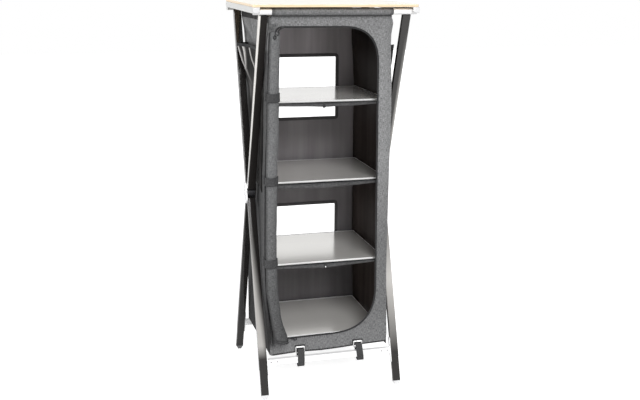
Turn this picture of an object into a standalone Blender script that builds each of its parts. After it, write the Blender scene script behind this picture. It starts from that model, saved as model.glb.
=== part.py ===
"""Folding camp cupboard.

A fabric cabinet with four board shelves hangs between two crossed leg frames. The
frames turn on one level axis at mid height, and a board top lies on their upper bars.
The front is -Y, the right-hand side is +X, and the origin is on the floor below the
middle. All sizes are in metres.
"""

import math

import bmesh
import bpy
from mathutils import Matrix, Vector

# Clearances
GAP = 0.0003
PIN_CLEARANCE = 0.00015

# Whole cupboard, standing open
TABLE_HEIGHT = 1.500
TABLE_WIDTH = 0.620
PIVOT_HEIGHT = 0.763
OPEN_ANGLE = math.radians(18.4)

# Crossed frames
LEG_WIDTH = 0.031
LEG_DEPTH = 0.018
LEG_WALL = 0.0012
LEG_CORNER = 0.003
LEG_OFFSET = 0.0095
LEG_END_HEIGHT = 0.0185
LEG_RAIL_GAP = 0.001
HUB_REACH = 0.0246
FOOT_STEP_LENGTH = 0.095
FOOT_STEP = 0.0008

# Top and bottom cross bars
TOP_BAR_RADIUS = 0.011
BAR_WALL = 0.0012
BOTTOM_BAR_SETBACK = 0.1236
BOTTOM_BAR_DEPTH = 0.020
BOTTOM_BAR_HEIGHT = 0.025
BOTTOM_BAR_CORNER = 0.003
BRACKET_LENGTH = 0.100
BRACKET_WIDTH = 0.016
BRACKET_THICKNESS = 0.0027

# Pivots
PIN_RADIUS = 0.004
PIN_HEAD_RADIUS = 0.007
PIN_HEAD_THICKNESS = 0.0015
DRUM_RADIUS = 0.0188
PLATE_LENGTH = 0.084
PLATE_WIDTH = 0.038
OUTER_PLATE_THICKNESS = 0.005
INNER_PLATE_THICKNESS = 0.0027
PLATE_CAP_RADIUS = 0.013
PLATE_CAP_THICKNESS = 0.004
PLATE_RIVET_RADIUS = 0.0034
PLATE_RIVET_THICKNESS = 0.0015
PLATE_RIVET_REACH = 0.034

# Feet
FOOT_PLUG_LENGTH = 0.020
FOOT_FLANGE = 0.002
FOOT_TIP_HEIGHT = 0.006
FOOT_TIP_WIDTH = 0.020
FOOT_TIP_DEPTH = 0.013
FOOT_SOLE_WIDTH = 0.015
FOOT_SOLE_DEPTH = 0.009

# Table top and its side rails
TABLE_OVERHANG = 0.0237
TABLE_THICKNESS = 0.010
TABLE_CORNER = 0.012
RAIL_WIDTH = 0.0245
RAIL_HEIGHT = 0.0212
RAIL_WALL = 0.003
RAIL_CLEARANCE = 0.0025
BAR_END_CLEARANCE = 0.0015
HINGE_WALL = 0.005

# Fabric cabinet
FABRIC = 0.0015
CABINET_SIDE_GAP = 0.0155
TOP_HEM_INSET = 0.0102
BOTTOM_HEM_INSET = 0.0138
HEADER_GAP = 0.004
HEM_GAP = 0.008
ROOF_DROP = 0.001
SLEEVE_INSET = 0.010
PANEL_CORNER = 0.012
WALL_FOLD = 0.0035
WALL_CORNER_GAP = 0.002

# Door opening in the front panel
DOOR_LEFT_MARGIN = 0.033
DOOR_RIGHT_MARGIN = 0.064
DOOR_TOP_MARGIN = 0.040
DOOR_BOTTOM_MARGIN = 0.063
DOOR_ARC = 0.125
DOOR_SMALL_ARC = 0.030

# Windows in the back wall, with each sill's height above the cabinet's foot
WINDOW_WIDTH = 0.280
WINDOW_HEIGHT = 0.248
WINDOW_SILLS = (0.236, 0.861)
WINDOW_CORNER = 0.008

# Shelves, with each board's height above the cabinet's foot
SHELF_LEVELS = (0.068, 0.365, 0.686, 0.990)
BOARD_SIDE_GAP = 0.016
BOARD_END_GAP = 0.012
BOARD_THICKNESS = 0.006
BOARD_CORNER = 0.006
BOARD_LIFT = 0.100
SLING_SAG = 0.012
SLING_DROP = 0.004

# Rolled door and its ties
ROLL_OFFSET = 0.033
ROLL_RADIUS = 0.0195
ROLL_LIP = 0.0024
ROLL_STAND_OFF = 0.0035
ROLL_FOOT_MARGIN = 0.026
ROLL_HEAD_MARGIN = 0.012
ROLL_FLARE = 0.009
ROLL_SHIFT = 0.028
TIE_WIDTH = 0.030
TIE_THICKNESS = 0.0015
TIE_RISE = 0.016

# Side pockets
POCKET_WIDTH = 0.340
POCKET_PIVOT_GAP = 0.037
POCKET_HEADROOM = 0.121
POCKET_BULGE = 0.028
POCKET_STAND_OFF = 0.0045
POCKET_LEG_GAP = 0.010

# Zip sliders
SLIDER_WIDTH = 0.010
SLIDER_HEIGHT = 0.012
SLIDER_THICKNESS = 0.004
PULL_LENGTH = 0.026
PULL_WIDTH = 0.005
PULL_THICKNESS = 0.0015
TOP_SLIDER_SETBACK = 0.009
BOTTOM_SLIDER_SETBACK = 0.045

# Bottom straps and buckles
STRAP_SPACING = 0.236
STRAP_WIDTH = 0.027
STRAP_THICKNESS = 0.0015
STRAP_RISE = 0.024
STRAP_SLACK = 0.0155
BUCKLE_WIDTH = 0.036
BUCKLE_HEIGHT = 0.016
BUCKLE_THICKNESS = 0.003
BUCKLE_BAR = 0.003

LEFT, RIGHT = -1, 1
FRONT_TOP, REAR_TOP = 1, -1
PIVOT = Vector((0, 0, PIVOT_HEIGHT))
LEG_OUTER_X = TABLE_WIDTH / 2 - RAIL_WIDTH - LEG_RAIL_GAP
LEG_INNER_X = LEG_OUTER_X - LEG_WIDTH
LEG_X = (LEG_OUTER_X + LEG_INNER_X) / 2
TABLE_UNDERSIDE = TABLE_HEIGHT - TABLE_THICKNESS
TOP_BAR_HEIGHT = TABLE_UNDERSIDE - GAP - RAIL_WALL - RAIL_CLEARANCE - TOP_BAR_RADIUS


def leg_reach(rise):
    """How far along a half leg's centre line lies a point that far above or below the pivot."""
    return (rise + LEG_OFFSET * math.sin(OPEN_ANGLE)) / math.cos(OPEN_ANGLE)


UPPER_REACH = leg_reach(TOP_BAR_HEIGHT - PIVOT_HEIGHT) - GAP - TOP_BAR_RADIUS
LOWER_REACH = leg_reach(PIVOT_HEIGHT - LEG_END_HEIGHT)
BOTTOM_BAR_REACH = LOWER_REACH - BOTTOM_BAR_SETBACK


def along(lean):
    """Direction up a leg of the frame whose top is in front (1) or behind (-1)."""
    return Vector((0, -lean * math.sin(OPEN_ANGLE), math.cos(OPEN_ANGLE)))


def across(lean):
    """Direction square to that leg, in the side view."""
    return Vector((0, lean * math.cos(OPEN_ANGLE), math.sin(OPEN_ANGLE)))


def upper_point(lean, reach):
    """A point on the upper half leg's centre line, reach from the pivot."""
    return PIVOT - LEG_OFFSET * across(lean) + reach * along(lean)


def lower_point(lean, reach):
    """A point on the lower half leg's centre line, reach from the pivot."""
    return PIVOT + LEG_OFFSET * across(lean) - reach * along(lean)


def top_bar_centre(lean):
    return upper_point(lean, UPPER_REACH + GAP + TOP_BAR_RADIUS)


TOP_BAR = top_bar_centre(FRONT_TOP)
BOTTOM_BAR = lower_point(REAR_TOP, BOTTOM_BAR_REACH)
SLEEVE_RADIUS = TOP_BAR_RADIUS + GAP + FABRIC
TABLE_DEPTH = 2 * (abs(TOP_BAR.y) + TABLE_OVERHANG)
CABINET_WIDTH = 2 * (LEG_INNER_X - CABINET_SIDE_GAP)
CABINET_TOP = TOP_BAR.z - SLEEVE_RADIUS - HEADER_GAP
CABINET_BOTTOM = BOTTOM_BAR.z + BOTTOM_BAR_HEIGHT / 2 + HEM_GAP
CABINET_HEIGHT = CABINET_TOP - CABINET_BOTTOM
CABINET_TOP_DEPTH = 2 * (abs(TOP_BAR.y) - TOP_HEM_INSET)
CABINET_BOTTOM_DEPTH = 2 * (abs(BOTTOM_BAR.y) - BOTTOM_HEM_INSET)
SLEEVE_LENGTH = CABINET_WIDTH - 2 * SLEEVE_INSET
DOOR_LEFT = -CABINET_WIDTH / 2 + DOOR_LEFT_MARGIN
DOOR_RIGHT = CABINET_WIDTH / 2 - DOOR_RIGHT_MARGIN
DOOR_BOTTOM = CABINET_BOTTOM + DOOR_BOTTOM_MARGIN
DOOR_TOP = CABINET_TOP - DOOR_TOP_MARGIN
SHELF_HEIGHTS = [CABINET_BOTTOM + level for level in SHELF_LEVELS]
BOARD_WIDTH = CABINET_WIDTH - 2 * BOARD_SIDE_GAP
BOARD_DEPTH = CABINET_BOTTOM_DEPTH - 2 * BOARD_END_GAP
ROLL_X = DOOR_LEFT - ROLL_OFFSET
ROLL_BOTTOM = DOOR_BOTTOM + ROLL_FOOT_MARGIN
ROLL_TOP = DOOR_TOP - ROLL_HEAD_MARGIN
POCKET_BOTTOM = PIVOT_HEIGHT + POCKET_PIVOT_GAP
POCKET_TOP = CABINET_TOP - POCKET_HEADROOM
STRAP_TOP = BOTTOM_BAR.z + BOTTOM_BAR_HEIGHT / 2 + STRAP_RISE


def half_depth(z):
    """Outer face of the front panel and back wall, which lean apart towards the top."""
    share = (z - CABINET_BOTTOM) / CABINET_HEIGHT
    return (CABINET_BOTTOM_DEPTH + share * (CABINET_TOP_DEPTH - CABINET_BOTTOM_DEPTH)) / 2


def material(name, colour, roughness, metallic=0.0):
    found = bpy.data.materials.get(name) or bpy.data.materials.new(name)
    found.use_nodes = True
    shader = found.node_tree.nodes["Principled BSDF"]
    shader.inputs["Base Color"].default_value = (*colour, 1.0)
    shader.inputs["Roughness"].default_value = roughness
    shader.inputs["Metallic"].default_value = metallic
    return found


def black_tube():
    return material("black_anodised", (0.022, 0.019, 0.018), 0.35, 0.6)


def silver_tube():
    return material("silver_anodised", (0.78, 0.78, 0.79), 0.32, 0.9)


def black_plastic():
    return material("black_plastic", (0.03, 0.03, 0.032), 0.5)


def pale_plastic():
    return material("pale_plastic", (0.72, 0.72, 0.73), 0.45)


def grey_fabric():
    return material("grey_melange_fabric", (0.19, 0.19, 0.195), 0.9)


def lining_fabric():
    return material("dark_lining_fabric", (0.045, 0.042, 0.045), 0.85)


def black_webbing():
    return material("black_webbing", (0.025, 0.025, 0.026), 0.8)


def steel():
    return material("bright_steel", (0.8, 0.8, 0.8), 0.25, 1.0)


def board_face():
    return material("metallic_grey_board", (0.42, 0.41, 0.39), 0.22, 0.7)


def pale_wood():
    return material("pale_wood", (0.83, 0.66, 0.44), 0.5)


def finish_object(name, bm, finish, axis=None):
    """Turns a bmesh in world coordinates into an object whose origin is on its axis."""
    bmesh.ops.remove_doubles(bm, verts=bm.verts, dist=1e-6)
    bmesh.ops.recalc_face_normals(bm, faces=bm.faces)
    mesh = bpy.data.meshes.new(name)
    bm.to_mesh(mesh)
    bm.free()
    mesh.shade_smooth()
    mesh.set_sharp_from_angle(angle=math.radians(35))
    mesh.materials.append(finish)
    piece = bpy.data.objects.new(name, mesh)
    bpy.context.scene.collection.objects.link(piece)
    if axis is not None:
        mesh.transform(Matrix.Translation(-axis.location))
        piece.parent = axis
    return piece


def axis_empty(name, place):
    empty = bpy.data.objects.new(name, None)
    empty.empty_display_size = 0.05
    empty.location = place
    bpy.context.scene.collection.objects.link(empty)
    return empty


def helper(name, bm):
    """A shape that only cuts or joins others."""
    tool = finish_object(name, bm, black_plastic())
    tool.hide_render = True
    tool.display_type = "WIRE"
    return tool


def combine(piece, tool, operation):
    modifier = piece.modifiers.new(tool.name, "BOOLEAN")
    modifier.operation = operation
    modifier.object = tool


def rounded_rectangle(width, height, corner, steps=3):
    """Points of a rounded rectangle about the origin, anticlockwise."""
    points = []
    for quarter in range(4):
        sign_x = 1 if quarter in (0, 3) else -1
        sign_y = 1 if quarter in (0, 1) else -1
        for step in range(steps + 1):
            angle = (quarter + step / steps) * math.pi / 2
            points.append((
                sign_x * (width / 2 - corner) + corner * math.cos(angle),
                sign_y * (height / 2 - corner) + corner * math.sin(angle),
            ))
    return points


def circle(radius, steps=20):
    turns = [2 * math.pi * step / steps for step in range(steps)]
    return [(radius * math.cos(turn), radius * math.sin(turn)) for turn in turns]


def add_loft(bm, loops, closed_ends=True):
    """Skins loops of equal length, each a list of world points, and caps both ends."""
    rings = [[bm.verts.new(point) for point in loop] for loop in loops]
    for low, high in zip(rings, rings[1:]):
        for index in range(len(low)):
            after = (index + 1) % len(low)
            bm.faces.new((low[index], low[after], high[after], high[index]))
    if closed_ends:
        bm.faces.new(rings[0])
        bm.faces.new(rings[-1])
    return rings


def add_pipe(bm, outer, inner):
    """Skins an open pipe from its outer and inner loops, listed from end to end."""
    shell = add_loft(bm, outer, closed_ends=False)
    bore = add_loft(bm, inner, closed_ends=False)
    for end in (0, -1):
        count = len(shell[end])
        for index in range(count):
            after = (index + 1) % count
            bm.faces.new((
                shell[end][index], shell[end][after],
                bore[end][after], bore[end][index],
            ))


def loop_in_frame(outline, origin, first, second):
    """Places a flat outline at origin, on two world directions."""
    return [origin + u * first + v * second for u, v in outline]


def add_box(bm, low, high):
    """A box between two corners."""
    outline = ((low[0], low[1]), (high[0], low[1]), (high[0], high[1]), (low[0], high[1]))
    add_loft(bm, [[Vector((x, y, z)) for x, y in outline] for z in (low[2], high[2])])


def add_disc(bm, outline, origin, direction, thickness):
    """A flat outline in the side view, made solid along X from origin."""
    first, second = direction
    start = loop_in_frame(outline, origin, first, second)
    end = [point + Vector((thickness, 0, 0)) for point in start]
    add_loft(bm, [start, end])


def add_sheet(bm, outer, inner):
    """A thin closed sheet between two grids of points, given as rows."""
    rows, columns = len(outer), len(outer[0])
    faces = [[[bm.verts.new(point) for point in row] for row in grid] for grid in (outer, inner)]
    for grid in faces:
        for r in range(rows - 1):
            for c in range(columns - 1):
                bm.faces.new((grid[r][c], grid[r][c + 1], grid[r + 1][c + 1], grid[r + 1][c]))
    rim = [(0, c) for c in range(columns)] + [(r, columns - 1) for r in range(1, rows)]
    rim += [(rows - 1, c) for c in range(columns - 2, -1, -1)]
    rim += [(r, 0) for r in range(rows - 2, 0, -1)]
    for (r, c), (next_r, next_c) in zip(rim, rim[1:] + rim[:1]):
        bm.faces.new((
            faces[0][r][c], faces[0][next_r][next_c],
            faces[1][next_r][next_c], faces[1][r][c],
        ))


def upright_panel(loops, thickness, outer_y):
    """A flat upright panel from an outline and its holes in X and Z.

    outer_y gives the place of its outer face at a height, and thickness runs from
    there along Y, towards the middle of the cabinet.
    """
    bm = bmesh.new()
    for loop in loops:
        corners = [bm.verts.new((x, 0, z)) for x, z in loop]
        for one, two in zip(corners, corners[1:] + corners[:1]):
            bm.edges.new((one, two))
    bmesh.ops.triangle_fill(bm, edges=bm.edges[:], use_beauty=True)
    front = bm.faces[:]
    made = bmesh.ops.extrude_face_region(bm, geom=front)
    back = [item for item in made["geom"] if isinstance(item, bmesh.types.BMVert)]
    bmesh.ops.translate(bm, verts=back, vec=(0, thickness, 0))
    for vertex in bm.verts:
        vertex.co.y += outer_y(vertex.co.z)
    return bm


def shifted(outline, x, z):
    return [(u + x, v + z) for u, v in outline]


def make_leg(name, lean, side, upper, axis):
    """One half leg, a rounded tube that is open at both ends."""
    point = upper_point if upper else lower_point
    end = UPPER_REACH if upper else LOWER_REACH
    sections = [(HUB_REACH, 0.0), (end, 0.0)]
    if not upper:
        step = LOWER_REACH - FOOT_STEP_LENGTH
        sections = [(HUB_REACH, 0.0), (step, 0.0), (step, FOOT_STEP), (end, FOOT_STEP)]
    centre_x = Vector((side * LEG_X, 0, 0))
    outer, inner = [], []
    for reach, inset in sections:
        origin = point(lean, reach) + centre_x
        for loops, wall in ((outer, 0.0), (inner, LEG_WALL)):
            shrink = 2 * (inset + wall)
            outline = rounded_rectangle(
                LEG_WIDTH - shrink, LEG_DEPTH - shrink, LEG_CORNER - inset - wall
            )
            loops.append(loop_in_frame(outline, origin, Vector((1, 0, 0)), across(lean)))
    bm = bmesh.new()
    add_pipe(bm, outer, inner)
    return finish_object(name, bm, black_tube(), axis)


def make_foot(name, lean, side, axis):
    """A glide plugged into the leg's end, with a level sole."""
    centre_x = Vector((side * LEG_X, 0, 0))
    bore_width = LEG_WIDTH - 2 * (FOOT_STEP + LEG_WALL + GAP)
    bore_depth = LEG_DEPTH - 2 * (FOOT_STEP + LEG_WALL + GAP)
    plug = rounded_rectangle(bore_width, bore_depth, 0.001)
    rim = rounded_rectangle(LEG_WIDTH, LEG_DEPTH, LEG_CORNER)
    loops = []
    for reach, outline in (
        (LOWER_REACH - FOOT_PLUG_LENGTH, plug), (LOWER_REACH + GAP, plug),
        (LOWER_REACH + GAP, rim), (LOWER_REACH + GAP + FOOT_FLANGE, rim),
    ):
        origin = lower_point(lean, reach) + centre_x
        loops.append(loop_in_frame(outline, origin, Vector((1, 0, 0)), across(lean)))
    tip = lower_point(lean, LOWER_REACH + GAP + FOOT_FLANGE) + centre_x
    level = Vector((0, lean, 0))
    for width, depth, height in (
        (FOOT_TIP_WIDTH, FOOT_TIP_DEPTH, FOOT_TIP_HEIGHT), (FOOT_SOLE_WIDTH, FOOT_SOLE_DEPTH, 0.0),
    ):
        outline = rounded_rectangle(width, depth, depth / 3)
        origin = Vector((tip.x, tip.y, height))
        loops.append(loop_in_frame(outline, origin, Vector((1, 0, 0)), level))
    bm = bmesh.new()
    add_loft(bm, loops)
    return finish_object(name, bm, pale_plastic(), axis)


def make_top_bar(name, lean, axis):
    half = TABLE_WIDTH / 2 - RAIL_WALL - BAR_END_CLEARANCE
    centre = top_bar_centre(lean)
    loops = []
    for radius in (TOP_BAR_RADIUS, TOP_BAR_RADIUS - BAR_WALL):
        ends = [centre + Vector((x, 0, 0)) for x in (-half, half)]
        loops.append([
            loop_in_frame(circle(radius), end, Vector((0, 1, 0)), Vector((0, 0, 1)))
            for end in ends
        ])
    bm = bmesh.new()
    add_pipe(bm, *loops)
    return finish_object(name, bm, silver_tube(), axis)


def make_bottom_bar(name, lean, axis):
    """A level bar between the lower half legs, with a riveted bracket at each end."""
    centre = lower_point(lean, BOTTOM_BAR_REACH)
    bracket_x = LEG_INNER_X - GAP - BRACKET_THICKNESS
    outline = rounded_rectangle(BOTTOM_BAR_DEPTH, BOTTOM_BAR_HEIGHT, BOTTOM_BAR_CORNER)
    ends = [centre + Vector((side * (bracket_x + BRACKET_THICKNESS / 2), 0, 0)) for side in (LEFT, RIGHT)]
    bm = bmesh.new()
    add_loft(bm, [loop_in_frame(outline, end, Vector((0, 1, 0)), Vector((0, 0, 1))) for end in ends])
    bar = finish_object(name, bm, silver_tube(), axis)
    extras = bmesh.new()
    plate = rounded_rectangle(BRACKET_WIDTH, BRACKET_LENGTH, BRACKET_WIDTH / 2 - 0.0005)
    for side in (LEFT, RIGHT):
        start = bracket_x if side == RIGHT else -bracket_x - BRACKET_THICKNESS
        origin = centre + Vector((start, 0, 0))
        add_disc(extras, plate, origin, (across(lean), along(lean)), BRACKET_THICKNESS)
    combine(bar, helper(name + "_brackets", extras), "UNION")
    return bar


def make_plate(name, lean, side, outer, axis):
    """A joint plate that ties the two halves of one leg, bored for the pivot pin."""
    thickness = OUTER_PLATE_THICKNESS if outer else INNER_PLATE_THICKNESS
    near = LEG_OUTER_X + GAP if outer else LEG_INNER_X - GAP - thickness
    directions = (across(lean), along(lean))
    bm = bmesh.new()
    start = side * near if side == RIGHT else -near - thickness
    outline = rounded_rectangle(PLATE_WIDTH, PLATE_LENGTH, PLATE_WIDTH / 3, steps=4)
    add_disc(bm, outline, PIVOT + Vector((start, 0, 0)), directions, thickness)
    finish = silver_tube() if outer else black_tube()
    plate = finish_object(name, bm, finish, axis)
    if outer:
        extras = bmesh.new()
        heads = [(Vector(), PLATE_CAP_RADIUS, PLATE_CAP_THICKNESS)]
        for point in (upper_point, lower_point):
            heads.append((
                point(lean, PLATE_RIVET_REACH) - PIVOT, PLATE_RIVET_RADIUS, PLATE_RIVET_THICKNESS,
            ))
        for place, radius, height in heads:
            face = near + thickness / 2
            depth = thickness / 2 + height
            start = face if side == RIGHT else -face - depth
            origin = PIVOT + place + Vector((start, 0, 0))
            add_disc(extras, circle(radius), origin, directions, depth)
        combine(plate, helper(name + "_heads", extras), "UNION")
    bore = bmesh.new()
    reach = thickness + PLATE_CAP_THICKNESS + 0.004
    start = side * (near + thickness / 2) - reach
    add_disc(bore, circle(PIN_RADIUS + PIN_CLEARANCE), PIVOT + Vector((start, 0, 0)), directions, 2 * reach)
    combine(plate, helper(name + "_bore", bore), "DIFFERENCE")
    return plate


def make_drum(name, side, axis):
    """The round spacer between the joint plates, where the half legs meet."""
    half = LEG_WIDTH / 2 - GAP
    directions = (Vector((0, 1, 0)), Vector((0, 0, 1)))
    outer, inner = [], []
    for offset in (-half, half):
        origin = PIVOT + Vector((side * LEG_X + offset, 0, 0))
        outer.append(loop_in_frame(circle(DRUM_RADIUS, 28), origin, *directions))
        inner.append(loop_in_frame(circle(PIN_RADIUS + PIN_CLEARANCE, 28), origin, *directions))
    bm = bmesh.new()
    add_pipe(bm, outer, inner)
    return finish_object(name, bm, black_plastic(), axis)


def make_pin(name, side, axis):
    """A headed pin through the inner plate, the drum and the outer plate."""
    head_face = LEG_INNER_X - GAP - INNER_PLATE_THICKNESS - GAP
    tip = LEG_OUTER_X + GAP + OUTER_PLATE_THICKNESS + PLATE_CAP_THICKNESS
    stations = (
        (head_face - PIN_HEAD_THICKNESS, PIN_HEAD_RADIUS), (head_face, PIN_HEAD_RADIUS),
        (head_face, PIN_RADIUS), (tip, PIN_RADIUS),
    )
    loops = []
    for x, radius in stations:
        origin = PIVOT + Vector((side * x, 0, 0))
        loops.append(loop_in_frame(circle(radius), origin, Vector((0, 1, 0)), Vector((0, 0, 1))))
    bm = bmesh.new()
    add_loft(bm, loops)
    return finish_object(name, bm, steel(), axis)


def make_frame(top_place, bottom_place, lean, axis):
    """One leg frame: four half legs, feet, bars and the plates that tie its halves."""
    for side, side_name in ((LEFT, "left"), (RIGHT, "right")):
        make_leg(f"{top_place}_upper_leg_{side_name}", lean, side, True, axis)
        make_leg(f"{bottom_place}_lower_leg_{side_name}", lean, side, False, axis)
        make_foot(f"{bottom_place}_foot_{side_name}", lean, side, axis)
        outer = lean == REAR_TOP
        place = "outer" if outer else "inner"
        make_plate(f"{place}_joint_plate_{side_name}", lean, side, outer, axis)
    make_top_bar(f"{top_place}_top_bar", lean, axis)
    make_bottom_bar(f"{bottom_place}_bottom_bar", lean, axis)
    make_sleeve(f"{top_place}_sleeve", lean, axis)


def make_sleeve(name, lean, axis):
    """The cabinet's hem that the top bar runs through."""
    centre = top_bar_centre(lean)
    radii = (SLEEVE_RADIUS, SLEEVE_RADIUS - FABRIC)
    loops = []
    for radius in radii:
        loops.append([
            loop_in_frame(
                circle(radius), centre + Vector((x, 0, 0)), Vector((0, 1, 0)), Vector((0, 0, 1))
            )
            for x in (-SLEEVE_LENGTH / 2, SLEEVE_LENGTH / 2)
        ])
    bm = bmesh.new()
    add_pipe(bm, *loops)
    return finish_object(name, bm, grey_fabric(), axis)


def make_table_board(axis):
    outline = rounded_rectangle(TABLE_WIDTH, TABLE_DEPTH, TABLE_CORNER)
    bm = bmesh.new()
    add_loft(bm, [[Vector((x, y, z)) for x, y in outline] for z in (TABLE_UNDERSIDE, TABLE_HEIGHT)])
    board = finish_object("table_board", bm, pale_wood(), axis)
    bevel = board.modifiers.new("soft_edges", "BEVEL")
    bevel.width = 0.001
    bevel.segments = 1
    return board


def make_rail(name, side, axis):
    """A side rail over the ends of both top bars, bored at the rear for its hinge."""
    top = TABLE_UNDERSIDE - GAP
    bottom = top - RAIL_HEIGHT
    outer_x = TABLE_WIDTH / 2
    inner_x = outer_x - RAIL_WIDTH
    front = -TABLE_DEPTH / 2
    rear_bar = top_bar_centre(REAR_TOP)
    block_half = TOP_BAR_RADIUS + PIN_CLEARANCE + HINGE_WALL
    rear = rear_bar.y + block_half
    profile = (
        (inner_x, top - RAIL_WALL), (outer_x - RAIL_WALL, top - RAIL_WALL),
        (outer_x - RAIL_WALL, bottom), (outer_x, bottom), (outer_x, top), (inner_x, top),
    )
    bm = bmesh.new()
    add_loft(bm, [[Vector((side * x, y, z)) for x, z in profile] for y in (front, rear)])
    rail = finish_object(name, bm, silver_tube(), axis)
    extras = bmesh.new()
    ends = sorted((side * (inner_x + 0.0001), side * (outer_x - RAIL_WALL / 2)))
    add_box(extras, (ends[0], front, bottom), (ends[1], front + RAIL_WALL, top - RAIL_WALL / 2))
    block_bottom = rear_bar.z - block_half
    add_box(
        extras,
        (ends[0], rear_bar.y - block_half, block_bottom),
        (ends[1], rear_bar.y + block_half - GAP, top - RAIL_WALL / 2),
    )
    combine(rail, helper(name + "_ends", extras), "UNION")
    bore = bmesh.new()
    start = ends[0] - 0.002 if side == RIGHT else -outer_x + RAIL_WALL
    length = RAIL_WIDTH - RAIL_WALL + 0.002
    directions = (Vector((0, 1, 0)), Vector((0, 0, 1)))
    origin = Vector((start, rear_bar.y, rear_bar.z))
    add_disc(bore, circle(TOP_BAR_RADIUS + PIN_CLEARANCE, 24), origin, directions, length)
    combine(rail, helper(name + "_bore", bore), "DIFFERENCE")
    return rail


def panel_outline():
    middle = (CABINET_TOP + CABINET_BOTTOM) / 2
    return shifted(rounded_rectangle(CABINET_WIDTH, CABINET_HEIGHT, PANEL_CORNER), 0, middle)


def door_outline():
    """The opening: two small arcs on the rolled door's side and two wide ones opposite."""
    corners = (
        (DOOR_RIGHT, DOOR_TOP, DOOR_ARC, 0), (DOOR_LEFT, DOOR_TOP, DOOR_SMALL_ARC, 1),
        (DOOR_LEFT, DOOR_BOTTOM, DOOR_SMALL_ARC, 2), (DOOR_RIGHT, DOOR_BOTTOM, DOOR_ARC, 3),
    )
    points = []
    for x, z, arc, quarter in corners:
        centre_x = x - arc if x == DOOR_RIGHT else x + arc
        centre_z = z - arc if z == DOOR_TOP else z + arc
        for step in range(9):
            angle = (quarter + step / 8) * math.pi / 2
            points.append((centre_x + arc * math.cos(angle), centre_z + arc * math.sin(angle)))
    return points


def make_front_panel():
    bm = upright_panel([panel_outline(), door_outline()], FABRIC, lambda z: -half_depth(z))
    return finish_object("front_panel", bm, grey_fabric())


def window_sills():
    return [CABINET_BOTTOM + sill for sill in WINDOW_SILLS]


def make_back_wall():
    window = rounded_rectangle(WINDOW_WIDTH, WINDOW_HEIGHT, WINDOW_CORNER)
    holes = [shifted(window, 0, low + WINDOW_HEIGHT / 2) for low in window_sills()]
    bm = upright_panel([panel_outline(), *holes], -FABRIC, half_depth)
    return finish_object("back_wall", bm, grey_fabric())


def make_side_wall(name, side):
    """A side wall with soft upright folds that fade out downwards."""
    rows, columns = 18, 8
    wall_height = CABINET_HEIGHT - 2 * WALL_CORNER_GAP - FABRIC - GAP
    outer, inner = [], []
    for row in range(rows + 1):
        z = CABINET_BOTTOM + WALL_CORNER_GAP + wall_height * row / rows
        reach = half_depth(z) - FABRIC - GAP
        lines = ([], [])
        for column in range(columns + 1):
            y = reach * (2 * column / columns - 1)
            edge = math.sin(math.pi * column / columns)
            rise = (row / rows) ** 2
            fold = WALL_FOLD * edge * (0.5 + rise * math.cos(3 * math.pi * column / columns))
            x = CABINET_WIDTH / 2 - WALL_FOLD / 2 - fold
            lines[0].append(Vector((side * x, y, z)))
            lines[1].append(Vector((side * (x - FABRIC), y, z)))
        outer.append(lines[0])
        inner.append(lines[1])
    bm = bmesh.new()
    add_sheet(bm, outer, inner)
    return finish_object(name, bm, grey_fabric())


def make_roof():
    top = CABINET_TOP - ROOF_DROP
    depth = half_depth(top - FABRIC) - FABRIC - GAP
    width = CABINET_WIDTH / 2 - WALL_FOLD
    bm = bmesh.new()
    add_box(bm, (-width, -depth, top - FABRIC), (width, depth, top))
    return finish_object("roof_panel", bm, grey_fabric())


def make_sling(index, height):
    """The fabric that carries one shelf board, slack along its front edge."""
    rows, columns = 6, 8
    top = height - BOARD_THICKNESS - GAP
    depth = half_depth(top - SLING_DROP - SLING_SAG) - FABRIC - 2 * GAP
    width = CABINET_WIDTH / 2 - 2 * WALL_FOLD - FABRIC - GAP
    upper, lower = [], []
    for row in range(rows + 1):
        y = depth * (2 * row / rows - 1)
        slack = max(0.0, 1 - row / 2)
        lines = ([], [])
        for column in range(columns + 1):
            across_share = 2 * column / columns - 1
            sag = slack * (SLING_DROP + SLING_SAG * (1 - across_share**2))
            z = top - sag
            lines[0].append(Vector((width * across_share, y, z)))
            lines[1].append(Vector((width * across_share, y, z - FABRIC)))
        upper.append(lines[0])
        lower.append(lines[1])
    bm = bmesh.new()
    add_sheet(bm, upper, lower)
    return finish_object(f"shelf_sling_{index}", bm, lining_fabric())


def make_board(index, height, axis):
    outline = rounded_rectangle(BOARD_WIDTH, BOARD_DEPTH, BOARD_CORNER)
    bm = bmesh.new()
    add_loft(bm, [[Vector((x, y, z)) for x, y in outline] for z in (height - BOARD_THICKNESS, height)])
    return finish_object(f"shelf_board_{index}", bm, board_face(), axis)


def tie_heights():
    return [height + TIE_RISE for height in SHELF_HEIGHTS[1:]]


def roll_centre(z):
    """The rolled door's middle at a height: it swings inwards near its foot."""
    low = max(0.0, 1 - (z - ROLL_BOTTOM) / 0.16)
    x = ROLL_X + ROLL_SHIFT * low**1.5
    return x, -half_depth(z) - ROLL_STAND_OFF - ROLL_RADIUS - ROLL_LIP


def roll_radius(z):
    """Its radius: drawn in at each tie, full between them, and flared at the foot."""
    nearest = min(abs(z - height) for height in tie_heights())
    pinch = 0.0016 * math.exp(-((nearest / 0.035) ** 2))
    low = max(0.0, 1 - (z - ROLL_BOTTOM) / 0.10)
    high = max(0.0, 1 - (ROLL_TOP - z) / 0.05)
    return ROLL_RADIUS - pinch + ROLL_FLARE * low**2 - 0.007 * high


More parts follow.
